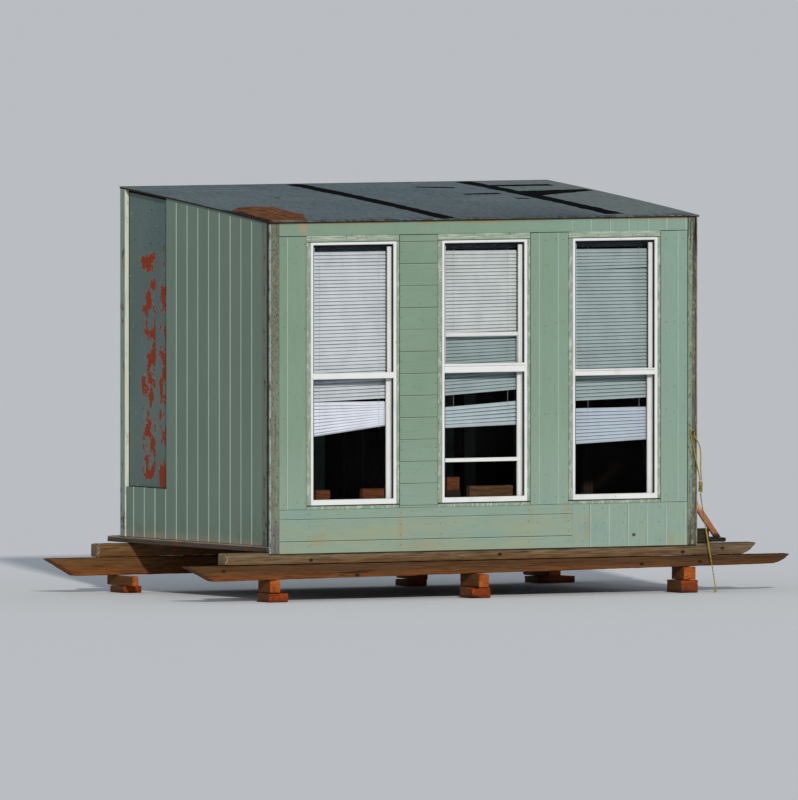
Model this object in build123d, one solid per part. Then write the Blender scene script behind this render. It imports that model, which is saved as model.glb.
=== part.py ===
from build123d import *
import math
import os

os.makedirs("parts", exist_ok=True)

# Ice fishing hut on two timber runners, in millimetres.
# Lengths run along X from the outer left corner, depths along Y from the
# face of the front boards, heights along Z from the ground.

# Overall body
LENGTH = 3000.0
DEPTH = 1844.0
FRONT_HEIGHT = 2299.0
ROOF_RISE = 170.0
ROOF_CROWN = 7.0
ROOF_OVERHANG = 8.0
ROOF_DECK = 9.0
ROOF_SKIN = 3.0

# Timber sections of the shell
SIDING = 19.0
STUD_WIDTH = 38.0
STUD_DEPTH = 64.0
RAFTER_DEPTH = 64.0
RAFTER_COUNT = 6
REAR_PLATE = 38.0
FLOOR_BOARD = 19.0

# Base: skid beams over runners over loose blocks
BEAM_TOP = 303.0
RUNNER_SETBACK = 19.0
RUNNER_LEFT_REACH = 558.0
RUNNER_RIGHT_REACH = 668.0
RUNNER_WIDTH = 92.0
RUNNER_TIP = 5.0
LEFT_BEVEL = 190.0
RIGHT_BEVEL = 118.0
FRONT_RUNNER_LEFT_HEIGHT = 94.0
FRONT_RUNNER_RIGHT_HEIGHT = 68.0
REAR_RUNNER_HEIGHT = 112.0
FRONT_BEAM_LEFT_REACH = 296.0
FRONT_BEAM_HEIGHT = 74.0
FRONT_BEAM_WIDTH = 110.0
REAR_BEAM_LEFT_REACH = 222.0
REAR_BEAM_HEIGHT = 84.0
REAR_BEAM_WIDTH = 95.0
BEAM_RIGHT_REACH = 432.0
BEAM_BEVEL = 103.0
BEAM_END_ROUND = 16.0
HEWN_RUN = 0.62
HEWN_RISE = 0.42

# Loose block stacks, each with its share of the length and then the place
# and size of its upper and lower block: left edge from that share, width,
# front edge from the hut's front or rear face, depth, and the upper height.
FRONT_STACKS = [
    (0.0, (13.0, 77.0, 19.0, 156.0, 79.0), (1.0, 136.0, 10.0, 152.0)),
    (0.5, (-69.0, 73.0, -55.0, 238.0, 82.0), (-123.0, 139.0, -55.0, 150.0)),
    (1.0, (-84.0, 87.0, 19.0, 154.0, 82.0), (-107.0, 121.0, 10.0, 180.0)),
]
REAR_STACKS = [
    (0.0, (-72.0, 45.0, -268.0, 323.0, 64.0), (-76.0, 128.0, -164.0, 178.0)),
    (0.5, (463.0, 45.0, -268.0, 323.0, 64.0), (433.0, 130.0, -164.0, 178.0)),
    (1.0, (-137.0, 89.0, -268.0, 323.0, 64.0), (-150.0, 260.0, -164.0, 178.0)),
]

# Sills and joists on the skid beams
SILL_HEIGHT = 89.0
SILL_PLANK = 40.0
SILL_PLANK_PROUD = 6.0
FRONT_SILL_TAIL = 100.0
LEFT_SILL_TAIL = 170.0
JOIST_COUNT = 5
JOIST_WIDTH = 89.0
REAR_STUD_COUNT = 4
SIDE_STUD = 650.0

# Boarding
FRONT_SKIRT = 8.0
CORNER_BOARD = 67.0
CORNER_BOARD_PROUD = 4.0
SIDE_CORNER_BOARD = 69.0
SIDE_CORNER_PROUD = 3.0
REAR_CORNER_BOARD = 58.0
REAR_CORNER_PROUD = 8.0
BOTTOM_BAND = 264.0
TOP_BAND = 79.0
BOTTOM_JOINT_OFFSET = 24.0
TOP_JOINT_OFFSET = 24.0

# Windows
WINDOW_COUNT = 3
WINDOW_GAP_EXTRA = 12.5
WINDOWS_LEFT_OF_CENTRE = 3.5
CASING_WIDTH = 645.0
CASING_SIDE = 25.0
CASING_SILL = 26.0
CASING_HEAD = 41.0
CASING_PROUD = 5.0
JAMB = 20.0
FRAME_SILL = 8.0
FRAME_HEAD = 8.0
FRAME_BACK = 106.0
FACE_PROUD = 13.0
FACE_THICKNESS = 14.0
FACE_SIDE = 25.0
FACE_SILL = 31.0
FACE_HEAD = 16.0
CROSSBAR_HEIGHTS = [37.0, 55.0, 40.0]
SASH_STILE = 22.0
SASH_TOP_RAIL = 22.0
SASH_MEETING_RAIL = 26.0
SASH_BOTTOM_RAIL = 23.0
SASH_THICKNESS = 14.0
SASH_CLEARANCE = 0.5
OUTER_TRACK = 18.0
TRACK_GAP = 1.0
MEETING_DROP = 15.0
MEETING_SHIFTS = [0.0, 34.0, -6.0]
SASH_RAISES = [0.0, 236.0, 0.0]
GLASS = 3.0
BLIND_HEADRAIL = 50.0
BLIND_RAIL_DEPTH = 22.0
BLIND_SET = 26.0
BLIND_SLATS = 10.0
BLIND_CLEARANCE = 2.0
BLIND_ENDS = [(706.0, 775.0), (747.0, 762.0), (633.0, 660.0)]

# Infill panel at the rear of the left wall
PANEL_OPENING = 497.0
PANEL_GAP = 3.0
PANEL_SILL = 305.0
PANEL_RECESS = 18.0
PANEL_THICKNESS = 9.0
PANEL_TOP_GAP = 18.0
CLEAT = 25.0

# Door in the right wall
DOOR_REAR_MARGIN = 604.0
DOOR_WIDTH = 680.0
OVER_DOOR = 235.0
DOOR_THICKNESS = 22.0
DOOR_GAP = 3.0
HINGE_LENGTH = 260.0
HINGE_HEIGHT = 34.0
HINGE_PLATE = 4.0
HINGE_INSET = 200.0
HINGE_LEAF = 60.0
HASP_LENGTH = 120.0

# Loose pieces at the right end
STEP_OFFSET = 106.0
STEP_WIDTH = 158.0
STEP_THICKNESS = 27.0
STEP_FRONT = 100.0
STEP_REAR = 44.0
PLANK_WIDTH = 38.0
PLANK_THICKNESS = 22.0
PLANK_FOOT = 211.0
PLANK_LEAN = 37.0
PLANK_Y = 150.0

# Roof scrap on the front left corner
SCRAP_THICKNESS = 6.0
SCRAP_OUTLINE = [
    (2.0, 8.0),
    (264.0, 14.0),
    (380.0, 262.0),
    (360.0, 430.0),
    (372.0, 618.0),
    (252.0, 658.0),
    (126.0, 616.0),
    (24.0, 506.0),
]

# Tie rope on the front right corner board
ROPE = 9.0
RUN_SHARE = 0.45
NAIL_RADIUS = 5.0
NAIL_HEAD = 8.0
NAIL_HEAD_THICKNESS = 3.0
NAIL_LENGTH = 20.0
NAIL_INSET = 44.0
NAIL_Z = 986.0
KNOT_RADIUS = 15.0
KNOT_NECK = 12.0
KNOT_BOTTOM = 612.0
KNOT_TOP = 685.0
END_KNOT_RADIUS = 10.0
END_KNOT_HEIGHT = 24.0
END_KNOT_ROUND = 4.2
NAIL_BEND = 10.0

# How far a cutter or a search for edges reaches past a face
CUT_MARGIN = 1.0

# Rope routes, with their lengths measured from the right end of the hut
LOOP_ROUTE = [
    (11.0, -11.0, 685.0),
    (11.0, -11.0, 708.0),
    (-12.0, -12.0, 790.0),
    (-34.0, -13.0, 890.0),
    (-55.0, -14.0, 955.0),
    (-55.0, -14.0, 995.8),
    (-33.0, -14.0, 995.8),
    (-33.0, -14.0, 960.0),
    (8.0, -13.0, 912.0),
    (19.0, -12.0, 845.0),
    (16.0, -11.0, 765.0),
    (22.0, -11.0, 710.0),
    (22.0, -11.0, 685.0),
]
TAIL_ROUTE = [
    (16.5, -11.0, 612.0),
    (16.5, -11.0, 585.0),
    (108.0, -34.0, 47.0),
    (108.0, -34.0, 24.0),
]

runner_left = -RUNNER_LEFT_REACH
runner_right = LENGTH + RUNNER_RIGHT_REACH
centre_x = (runner_left + runner_right) / 2
foremost = min(upper[2] for share, upper, lower in FRONT_STACKS)
centre_y = (foremost + DEPTH + LEFT_SILL_TAIL) / 2
siding_bottom = BEAM_TOP - FRONT_SKIRT
sill_top = BEAM_TOP + SILL_HEIGHT
plank_top = BEAM_TOP + SILL_PLANK
floor_top = plank_top + FLOOR_BOARD
inner = SIDING + STUD_DEPTH
rear_face = DEPTH - SIDING
rear_inner = rear_face - STUD_DEPTH
right_face = LENGTH - SIDING

half_chord = math.hypot(DEPTH, ROOF_RISE) / 2
roof_radius = (half_chord**2 + ROOF_CROWN**2) / (2 * ROOF_CROWN)
chord_angle = math.atan2(ROOF_RISE, DEPTH)
roof_axis_y = DEPTH / 2 + (roof_radius - ROOF_CROWN) * math.sin(chord_angle)
roof_axis_z = FRONT_HEIGHT + ROOF_RISE / 2 - (roof_radius - ROOF_CROWN) * math.cos(chord_angle)


def roof_z(y):
    """Height of the underside of the roof deck at depth y."""
    return roof_axis_z + math.sqrt(roof_radius**2 - (y - roof_axis_y) ** 2)


def rafter_z(y):
    """Height of the straight underside of the rafters at depth y."""
    return FRONT_HEIGHT + ROOF_RISE * y / DEPTH - RAFTER_DEPTH


def slab(x0, x1, y0, y1, z0, z1):
    """Squared timber or board between two corners."""
    low = (Align.MIN, Align.MIN, Align.MIN)
    return Pos(x0, y0, z0) * Box(x1 - x0, y1 - y0, z1 - z0, align=low)


def side_profile(outline, x0, x1):
    """Solid from an outline in depth and height, extruded from x0 to x1."""
    return extrude(Plane.YZ.offset(x0) * make_face(outline), x1 - x0)


def front_profile(outline, y0, y1):
    """Solid from an outline in length and height, extruded from y0 to y1."""
    return extrude(Plane.XZ.offset(-y1) * make_face(outline), y1 - y0)


def under_roof(x0, x1, y0, y1, z0, drop=0.0):
    """Upright board whose top follows the crowned roof."""
    middle = (y0 + y1) / 2
    front_top = (y0, roof_z(y0) - drop)
    rear_top = (y1, roof_z(y1) - drop)
    sides = Polyline(front_top, (y0, z0), (y1, z0), rear_top)
    top = ThreePointArc(rear_top, (middle, roof_z(middle) - drop), front_top)
    return side_profile(sides + top, x0, x1)


def under_rafter(x0, x1, y0, y1, z0):
    """Upright or plate whose top is cut to the slope of the rafters."""
    corners = [(y0, z0), (y1, z0), (y1, rafter_z(y1)), (y0, rafter_z(y0))]
    return side_profile(Polyline(*corners, close=True), x0, x1)


def save(name, *solids):
    """Moves the solids to the part's own origin and writes them as one node."""
    placed = [Pos(-centre_x, -centre_y, 0) * solid for solid in solids]
    shape = placed[0] if len(placed) == 1 else Compound(children=placed)
    shape.label = name
    export_step(shape, f"parts/{name}.step")


# Runners: long squared timbers, hewn to a tip at both ends.
front_runner_top = BEAM_TOP - FRONT_BEAM_HEIGHT
rear_runner_top = BEAM_TOP - REAR_BEAM_HEIGHT
rear_runner_bottom = rear_runner_top - REAR_RUNNER_HEIGHT
runner_back = RUNNER_SETBACK + RUNNER_WIDTH
rear_runner_front = DEPTH - RUNNER_WIDTH


def front_runner_bottom(x):
    """Underside of the worn front runner, which is thinner to the right."""
    share = x / LENGTH
    height = FRONT_RUNNER_LEFT_HEIGHT * (1 - share) + FRONT_RUNNER_RIGHT_HEIGHT * share
    return front_runner_top - height


def runner(y0, y1, top, bottom):
    """One runner; bottom gives its underside at a place along the length."""
    left = runner_left + LEFT_BEVEL
    right = runner_right - RIGHT_BEVEL
    tip = (runner_right, top - RUNNER_TIP)
    body = Polyline(
        tip,
        (runner_right, top),
        (runner_left, top),
        (runner_left, top - RUNNER_TIP),
        (left, bottom(left)),
        (right, bottom(right)),
    )
    hewn = ThreePointArc(
        (right, bottom(right)),
        (right + HEWN_RUN * RIGHT_BEVEL, bottom(right) + HEWN_RISE * (tip[1] - bottom(right))),
        tip,
    )
    return front_profile(body + hewn, y0, y1)


save("front_runner", runner(RUNNER_SETBACK, runner_back, front_runner_top, front_runner_bottom))
save("rear_runner", runner(rear_runner_front, DEPTH, rear_runner_top, lambda x: rear_runner_bottom))


def skid_beam(x0, y0, y1, height):
    """Upper skid timber with a worn left end and a hewn right end."""
    bottom = BEAM_TOP - height
    beam_right = LENGTH + BEAM_RIGHT_REACH
    foot = beam_right - BEAM_BEVEL
    outline = Polyline(
        (beam_right, BEAM_TOP - RUNNER_TIP),
        (beam_right, BEAM_TOP),
        (x0, BEAM_TOP),
        (x0, bottom),
        (foot, bottom),
    )
    hewn = ThreePointArc(
        (foot, bottom),
        (foot + HEWN_RUN * BEAM_BEVEL, bottom + HEWN_RISE * (height - RUNNER_TIP)),
        (beam_right, BEAM_TOP - RUNNER_TIP),
    )
    beam = front_profile(outline + hewn, y0, y1)
    worn = beam.edges().filter_by(Axis.Z).filter_by_position(Axis.X, x0 - CUT_MARGIN, x0 + CUT_MARGIN)
    return fillet(worn, BEAM_END_ROUND)


front_beam_back = RUNNER_SETBACK + FRONT_BEAM_WIDTH
rear_beam_front = DEPTH - REAR_BEAM_WIDTH
save(
    "front_skid_beam",
    skid_beam(-FRONT_BEAM_LEFT_REACH, RUNNER_SETBACK, front_beam_back, FRONT_BEAM_HEIGHT),
)
save("rear_skid_beam", skid_beam(-REAR_BEAM_LEFT_REACH, rear_beam_front, DEPTH, REAR_BEAM_HEIGHT))


def stack(blocks, face, underside):
    """Upper and lower block of one stack below a runner."""
    share, upper, lower = blocks
    x, width, y, depth, height = upper
    x += share * LENGTH
    y += face
    top = underside(x)
    seat = top - height
    upper_block = slab(x, x + width, y, y + depth, seat, top)
    x, width, y, depth = lower
    x += share * LENGTH
    y += face
    return upper_block, slab(x, x + width, y, y + depth, 0, seat)


stacks = [stack(blocks, 0, front_runner_bottom) for blocks in FRONT_STACKS]
stacks += [stack(blocks, DEPTH, lambda x: rear_runner_bottom) for blocks in REAR_STACKS]
save("upper_support_blocks", *[upper for upper, lower in stacks])
save("lower_support_blocks", *[lower for upper, lower in stacks])

# Sills: side planks laid flat, front and rear timbers on edge between them.
left_sill_end = SIDING + STUD_DEPTH
right_sill_start = LENGTH - left_sill_end
left_sill = slab(
    -SILL_PLANK_PROUD, left_sill_end, SIDING, DEPTH + LEFT_SILL_TAIL, BEAM_TOP, plank_top
)
right_sill = slab(
    right_sill_start, LENGTH + SILL_PLANK_PROUD, inner, rear_face, BEAM_TOP, plank_top
)
save("side_sill_planks", left_sill, right_sill)
front_sill_end = LENGTH + FRONT_SILL_TAIL
save(
    "front_and_rear_sills",
    slab(left_sill_end, front_sill_end, SIDING, inner, BEAM_TOP, sill_top),
    slab(left_sill_end, right_sill_start, rear_inner, rear_face, BEAM_TOP, sill_top),
)

joist_pitch = (right_sill_start - left_sill_end) / (JOIST_COUNT + 1)
joists = []
for n in range(1, JOIST_COUNT + 1):
    x = left_sill_end + n * joist_pitch - JOIST_WIDTH / 2
    joists.append(slab(x, x + JOIST_WIDTH, inner, rear_inner, BEAM_TOP, plank_top))
save("floor_joists", *joists)
save("floor_boards", slab(SIDING, right_face, inner, rear_inner, plank_top, floor_top))

# Front wall: bands of boarding above and below the windows and infill
# boards between them, so that each opening is left free.
bottom_band_top = siding_bottom + BOTTOM_BAND
top_band_bottom = FRONT_HEIGHT - TOP_BAND
front_right = LENGTH - CORNER_BOARD
boarding_left = LENGTH - WINDOW_COUNT * CASING_WIDTH
window_margin = (boarding_left - (WINDOW_COUNT - 1) * WINDOW_GAP_EXTRA) / (WINDOW_COUNT + 1)
window_pitch = CASING_WIDTH + window_margin + WINDOW_GAP_EXTRA
openings = []
for n in range(WINDOW_COUNT):
    x = window_margin - WINDOWS_LEFT_OF_CENTRE + n * window_pitch
    openings.append((x, x + CASING_WIDTH))
bottom_joint = openings[-1][0] + BOTTOM_JOINT_OFFSET
top_joint = openings[-1][0] + TOP_JOINT_OFFSET


def front_board(x0, x1, z0, z1):
    """Front boarding between two lengths and two heights."""
    return slab(x0, x1, 0, SIDING, z0, z1)


save("front_bottom_boards", front_board(CORNER_BOARD, bottom_joint, siding_bottom, bottom_band_top))
save("front_bottom_patch", front_board(bottom_joint, front_right, siding_bottom, bottom_band_top))
save("front_top_board", front_board(CORNER_BOARD, top_joint, top_band_bottom, FRONT_HEIGHT))
save("front_top_patch", front_board(top_joint, front_right, top_band_bottom, FRONT_HEIGHT))
save(
    "front_end_boards",
    front_board(CORNER_BOARD, openings[0][0], bottom_band_top, top_band_bottom),
    front_board(openings[-1][1], front_right, bottom_band_top, top_band_bottom),
)
between = []
for n in range(WINDOW_COUNT - 1):
    between.append(front_board(openings[n][1], openings[n + 1][0], bottom_band_top, top_band_bottom))
save("front_boards_between_windows", *between)

corner_face = -CORNER_BOARD_PROUD
corner_top = roof_z(corner_face)
save(
    "front_corner_boards",
    slab(0, CORNER_BOARD, corner_face, SIDING, siding_bottom, corner_top),
    slab(front_right, LENGTH, corner_face, SIDING, siding_bottom, corner_top),
)

# Side corner boards; the right front one is notched over the front sill.
side_corner_back = SIDING + SIDE_CORNER_BOARD
rear_corner_front = DEPTH - REAR_CORNER_BOARD
save(
    "side_corner_boards",
    under_roof(-SIDE_CORNER_PROUD, SIDING, SIDING, side_corner_back, plank_top),
    under_roof(right_face, LENGTH + SIDE_CORNER_PROUD, SIDING, side_corner_back, sill_top),
    under_roof(-REAR_CORNER_PROUD, SIDING, rear_corner_front, DEPTH, plank_top),
    under_roof(right_face, LENGTH + REAR_CORNER_PROUD, rear_corner_front, DEPTH, plank_top),
)

# Left wall: boarding, the short boards below the panel and the panel itself.
panel_sill = plank_top + PANEL_SILL
panel_joint = rear_corner_front - PANEL_OPENING
panel_front = panel_joint + PANEL_GAP
panel_rear = rear_corner_front - PANEL_GAP
end_set = PANEL_RECESS + PANEL_THICKNESS
rear_plate_bottom = rafter_z(rear_inner) - REAR_PLATE
save("left_wall_boards", under_roof(0, SIDING, side_corner_back, panel_joint, plank_top))
save("left_low_boards", slab(0, SIDING, panel_joint, rear_corner_front, plank_top, panel_sill))
panel = under_roof(PANEL_RECESS, end_set, panel_front, panel_rear, panel_sill, PANEL_TOP_GAP)
save("left_infill_panel", panel)
save(
    "panel_cleats",
    under_rafter(end_set, end_set + CLEAT, panel_front, panel_front + CLEAT, panel_sill),
    slab(end_set, end_set + CLEAT, panel_rear - CLEAT, panel_rear, panel_sill, rear_plate_bottom),
)
save("rear_wall_boards", slab(SIDING, right_face, rear_face, DEPTH, plank_top, roof_z(rear_face)))

# Right wall: boarding beside and over the door.
door_rear = DEPTH - DOOR_REAR_MARGIN
door_front = door_rear - DOOR_WIDTH
door_top = roof_z(door_front) - OVER_DOOR
save(
    "right_wall_boards",
    under_roof(right_face, LENGTH, side_corner_back, door_front, plank_top),
    under_roof(right_face, LENGTH, door_rear, rear_corner_front, plank_top),
)
save("boards_over_door", under_roof(right_face, LENGTH, door_front, door_rear, door_top))
door_back = LENGTH - DOOR_THICKNESS
leaf_front = door_front + DOOR_GAP
leaf_rear = door_rear - DOOR_GAP
leaf_bottom = floor_top + DOOR_GAP
save("door_leaf", slab(door_back, LENGTH, leaf_front, leaf_rear, leaf_bottom, door_top - DOOR_GAP))
hinges = []
for z in (leaf_bottom + HINGE_INSET, door_top - HINGE_INSET - HINGE_HEIGHT):
    strap_end = leaf_rear - HINGE_LENGTH
    hinges.append(
        slab(LENGTH, LENGTH + HINGE_PLATE, strap_end, door_rear + HINGE_LEAF, z, z + HINGE_HEIGHT)
    )
hasp_z = (leaf_bottom + door_top) / 2
hasp_y = leaf_front + HASP_LENGTH / 2
hasp = slab(
    LENGTH, LENGTH + HINGE_PLATE, door_front - HASP_LENGTH / 2, hasp_y, hasp_z, hasp_z + HINGE_HEIGHT
)
save("door_hinges_and_hasp", *hinges, hasp)

# Wall frames: studs on the sills and floor, plates cut to the rafter slope.
frame_bottom = bottom_band_top + CASING_SILL
frame_top = top_band_bottom - CASING_HEAD
frames = [(x0 + CASING_SIDE, x1 - CASING_SIDE) for x0, x1 in openings]
plate_right = LENGTH - end_set
save(
    "wall_top_plates",
    under_rafter(end_set, plate_right, SIDING, inner, frame_top),
    under_rafter(end_set, plate_right, rear_inner, rear_face, rear_plate_bottom),
)

front_studs = [
    slab(SIDING, inner, SIDING, inner, plank_top, frame_top),
    slab(LENGTH - inner, right_face, SIDING, inner, sill_top, frame_top),
]
rough_sills = []
for x0, x1 in frames:
    front_studs.append(slab(x0 - STUD_WIDTH, x0, SIDING, inner, sill_top, frame_top))
    front_studs.append(slab(x1, x1 + STUD_WIDTH, SIDING, inner, sill_top, frame_top))
    rough_sills.append(slab(x0, x1, SIDING, inner, frame_bottom - STUD_WIDTH, frame_bottom))
save("front_studs", *front_studs)

rear_studs = [
    slab(SIDING, inner, panel_rear, rear_face, plank_top, rear_plate_bottom),
    slab(LENGTH - inner, right_face, panel_rear, rear_face, plank_top, rear_plate_bottom),
]
rear_pitch = (right_sill_start - left_sill_end) / (REAR_STUD_COUNT + 1)
for n in range(1, REAR_STUD_COUNT + 1):
    x = left_sill_end + n * rear_pitch - STUD_WIDTH / 2
    rear_studs.append(slab(x, x + STUD_WIDTH, rear_inner, rear_face, sill_top, rear_plate_bottom))
save("rear_studs", *rear_studs)

plate_top = floor_top + STUD_WIDTH
save(
    "side_bottom_plates",
    slab(SIDING, inner, inner, rear_inner, floor_top, plate_top),
    slab(LENGTH - inner, right_face, inner, door_front, floor_top, plate_top),
    slab(LENGTH - inner, right_face, door_rear, rear_inner, floor_top, plate_top),
)
side_studs = []
for y in (inner, SIDE_STUD, panel_front - STUD_WIDTH):
    side_studs.append(under_rafter(SIDING, inner, y, y + STUD_WIDTH, plate_top))
for y in (inner, door_front - STUD_WIDTH, door_rear):
    side_studs.append(under_rafter(LENGTH - inner, right_face, y, y + STUD_WIDTH, plate_top))
save("side_studs", *side_studs)
save(
    "wall_rails",
    *rough_sills,
    slab(SIDING, inner, panel_front, panel_rear, panel_sill - STUD_WIDTH, panel_sill),
    slab(LENGTH - inner, right_face, door_front, door_rear, door_top, door_top + STUD_WIDTH),
)

# Windows: casing, box frame with its outer face and crossbar, two sashes in
# their tracks behind it, glass and blind.


def ring(x0, x1, z0, z1, left, right, bottom, top, y0, y1):
    """Upright rectangular frame with its four member widths."""
    before = y0 - CUT_MARGIN
    behind = y1 + CUT_MARGIN
    hole = slab(x0 + left, x1 - right, before, behind, z0 + bottom, z1 - top)
    return slab(x0, x1, y0, y1, z0, z1) - hole


casings = []
boxes = []
upper_sashes = []
lower_sashes = []
panes = []
blinds = []
upper_front = OUTER_TRACK
upper_back = upper_front + SASH_THICKNESS
lower_front = upper_back + TRACK_GAP
lower_back = lower_front + SASH_THICKNESS
blind_front = lower_back + BLIND_SET
casing_widths = (CASING_SIDE, CASING_SIDE, CASING_SILL, CASING_HEAD)
casing_span = (bottom_band_top, top_band_bottom)
box_widths = (JAMB, JAMB, FRAME_SILL, FRAME_HEAD)
face_widths = (FACE_SIDE, FACE_SIDE, FACE_SILL, FACE_HEAD)
face_span = (-FACE_PROUD, FACE_THICKNESS - FACE_PROUD)
for n, (x0, x1) in enumerate(frames):
    casings.append(ring(*openings[n], *casing_span, *casing_widths, -CASING_PROUD, SIDING))
    left = x0 + JAMB + SASH_CLEARANCE
    right = x1 - JAMB - SASH_CLEARANCE
    sill = frame_bottom + FRAME_SILL
    head = frame_top - FRAME_HEAD
    meeting_line = (frame_bottom + frame_top) / 2 - MEETING_DROP
    meeting = meeting_line + MEETING_SHIFTS[n]
    bar = CROSSBAR_HEIGHTS[n] / 2
    box = ring(x0, x1, frame_bottom, frame_top, *box_widths, -FACE_PROUD, FRAME_BACK)
    face = ring(x0, x1, frame_bottom, frame_top, *face_widths, *face_span)
    boxes.append(box + face + slab(x0 + JAMB, x1 - JAMB, *face_span, meeting - bar, meeting + bar))
    lower_height = meeting_line + SASH_MEETING_RAIL / 2 - sill
    upper = (left, right, meeting - SASH_MEETING_RAIL / 2, head)
    upper_rails = (SASH_STILE, SASH_STILE, SASH_MEETING_RAIL, SASH_TOP_RAIL)
    low = sill + SASH_RAISES[n]
    lower = (left, right, low, low + lower_height)
    lower_rails = (SASH_STILE, SASH_STILE, SASH_BOTTOM_RAIL, SASH_MEETING_RAIL)
    upper_sashes.append(ring(*upper, *upper_rails, upper_front, upper_back))
    lower_sashes.append(ring(*lower, *lower_rails, lower_front, lower_back))
    for sash, rails, front in ((upper, upper_rails, upper_front), (lower, lower_rails, lower_front)):
        pane_y = front + (SASH_THICKNESS - GLASS) / 2
        panes.append(
            slab(sash[0] + rails[0], sash[1] - rails[1], pane_y, pane_y + GLASS,
                 sash[2] + rails[2], sash[3] - rails[3])
        )
    blind_left = x0 + JAMB + BLIND_CLEARANCE
    blind_right = x1 - JAMB - BLIND_CLEARANCE
    rail_bottom = head - BLIND_HEADRAIL
    ends = [siding_bottom + z for z in BLIND_ENDS[n]]
    corners = [(blind_left, head), (blind_left, ends[0]), (blind_right, ends[1]), (blind_right, head)]
    slats_back = blind_front + BLIND_SLATS
    slats = front_profile(Polyline(*corners, close=True), blind_front, slats_back)
    rail = slab(blind_left, blind_right, slats_back, blind_front + BLIND_RAIL_DEPTH, rail_bottom, head)
    blinds.append(slats + rail)
save("window_casings", *casings)
save("window_frames", *boxes)
save("upper_sashes", *upper_sashes)
save("lower_sashes", *lower_sashes)
save("window_panes", *panes)
save("window_blinds", *blinds)

# Roof: rafters with crowned tops, the deck bent over them and its covering.
rafter_pitch = (LENGTH - 2 * end_set - STUD_WIDTH) / (RAFTER_COUNT - 1)
rafters = []
for n in range(RAFTER_COUNT):
    x = end_set + n * rafter_pitch
    foot = (SIDING, rafter_z(SIDING))
    heel = (rear_face, rafter_z(rear_face))
    front_top = (SIDING, roof_z(SIDING))
    rear_top = (rear_face, roof_z(rear_face))
    middle = (SIDING + rear_face) / 2
    sides = Polyline(front_top, foot, heel, rear_top)
    crown = ThreePointArc(rear_top, (middle, roof_z(middle)), front_top)
    rafters.append(side_profile(sides + crown, x, x + STUD_WIDTH))
save("rafters", *rafters)


def roof_sheet(x0, x1, y0, y1, low, high):
    """Sheet bent to the crown between two heights above the rafters."""
    middle = (y0 + y1) / 2
    corners = [(y, roof_z(y) + rise) for rise in (low, high) for y in (y0, y1)]
    below = ThreePointArc(corners[0], (middle, roof_z(middle) + low), corners[1])
    above = ThreePointArc(corners[3], (middle, roof_z(middle) + high), corners[2])
    outline = below + Line(corners[1], corners[3]) + above + Line(corners[2], corners[0])
    return side_profile(outline, x0, x1)


roof_x = (-ROOF_OVERHANG, LENGTH + ROOF_OVERHANG)
roof_y = (-ROOF_OVERHANG, DEPTH + ROOF_OVERHANG)
roof_top = ROOF_DECK + ROOF_SKIN
save("roof_deck", roof_sheet(*roof_x, *roof_y, 0, ROOF_DECK))
save("roof_covering", roof_sheet(*roof_x, *roof_y, ROOF_DECK, roof_top))
scrap_x = max(x for x, y in SCRAP_OUTLINE)
scrap_y = max(y for x, y in SCRAP_OUTLINE)
scrap_sheet = roof_sheet(0, scrap_x, 0, scrap_y, roof_top, roof_top + SCRAP_THICKNESS)
scrap_top = FRONT_HEIGHT + ROOF_RISE
scrap_shape = extrude(make_face(Polyline(*SCRAP_OUTLINE, close=True)), scrap_top)
save("roof_scrap_board", scrap_sheet & scrap_shape)

# Loose pieces at the right end: the step board and the plank leaning on it.
step_x = LENGTH + STEP_OFFSET
step_top = BEAM_TOP + STEP_THICKNESS
step_back = DEPTH - STEP_REAR
save("step_board", slab(step_x, step_x + STEP_WIDTH, STEP_FRONT, step_back, BEAM_TOP, step_top))
lean = math.radians(PLANK_LEAN)
foot_x = LENGTH + PLANK_FOOT
along = PLANK_FOOT / math.sin(lean)
wall_z = step_top + PLANK_FOOT / math.tan(lean)
end_x = LENGTH + PLANK_WIDTH * math.cos(lean)
end_z = wall_z + PLANK_WIDTH * math.sin(lean)
toe_x = foot_x + PLANK_WIDTH / math.cos(lean)
plank_outline = Polyline(
    (foot_x, step_top), (toe_x, step_top), (end_x, end_z), (LENGTH, wall_z), close=True
)
save("leaning_plank", front_profile(plank_outline, PLANK_Y, PLANK_Y + PLANK_THICKNESS))

# Tie rope: a spike in the right corner board, a loose loop, a knot and a tail.
nail_plane = Plane((LENGTH - NAIL_INSET, corner_face, NAIL_Z), x_dir=(1, 0, 0), z_dir=(0, -1, 0))
shank = nail_plane * Cylinder(NAIL_RADIUS, NAIL_LENGTH, align=(Align.CENTER, Align.CENTER, Align.MIN))
cap_plane = nail_plane.offset(NAIL_LENGTH)
cap = cap_plane * Cylinder(
    NAIL_HEAD, NAIL_HEAD_THICKNESS, align=(Align.CENTER, Align.CENTER, Align.MIN)
)
save("rope_nail", shank + cap)


def rope(name, route, tight=None):
    """Round rope along straight runs joined by arcs; tight holds given radii."""
    points = [Vector(LENGTH + x, y, z) for x, y, z in route]
    radii = []
    for n in range(1, len(points) - 1):
        before = points[n] - points[n - 1]
        after = points[n + 1] - points[n]
        turn = math.radians(before.get_angle(after))
        radius = RUN_SHARE * min(before.length, after.length) / math.tan(turn / 2)
        radii.append((tight or {}).get(n, radius))
    path = FilletPolyline(*points, radius=radii)
    section = Plane(path @ 0, z_dir=path % 0) * Circle(ROPE / 2)
    tube = sweep(section, path=path)
    expected = math.pi * ROPE**2 / 4 * path.length
    print(name, "radii", [round(radius) for radius in radii])
    print(name, "length", round(path.length), "volume share", round(tube.volume / expected, 4))
    save(name, tube)


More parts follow.
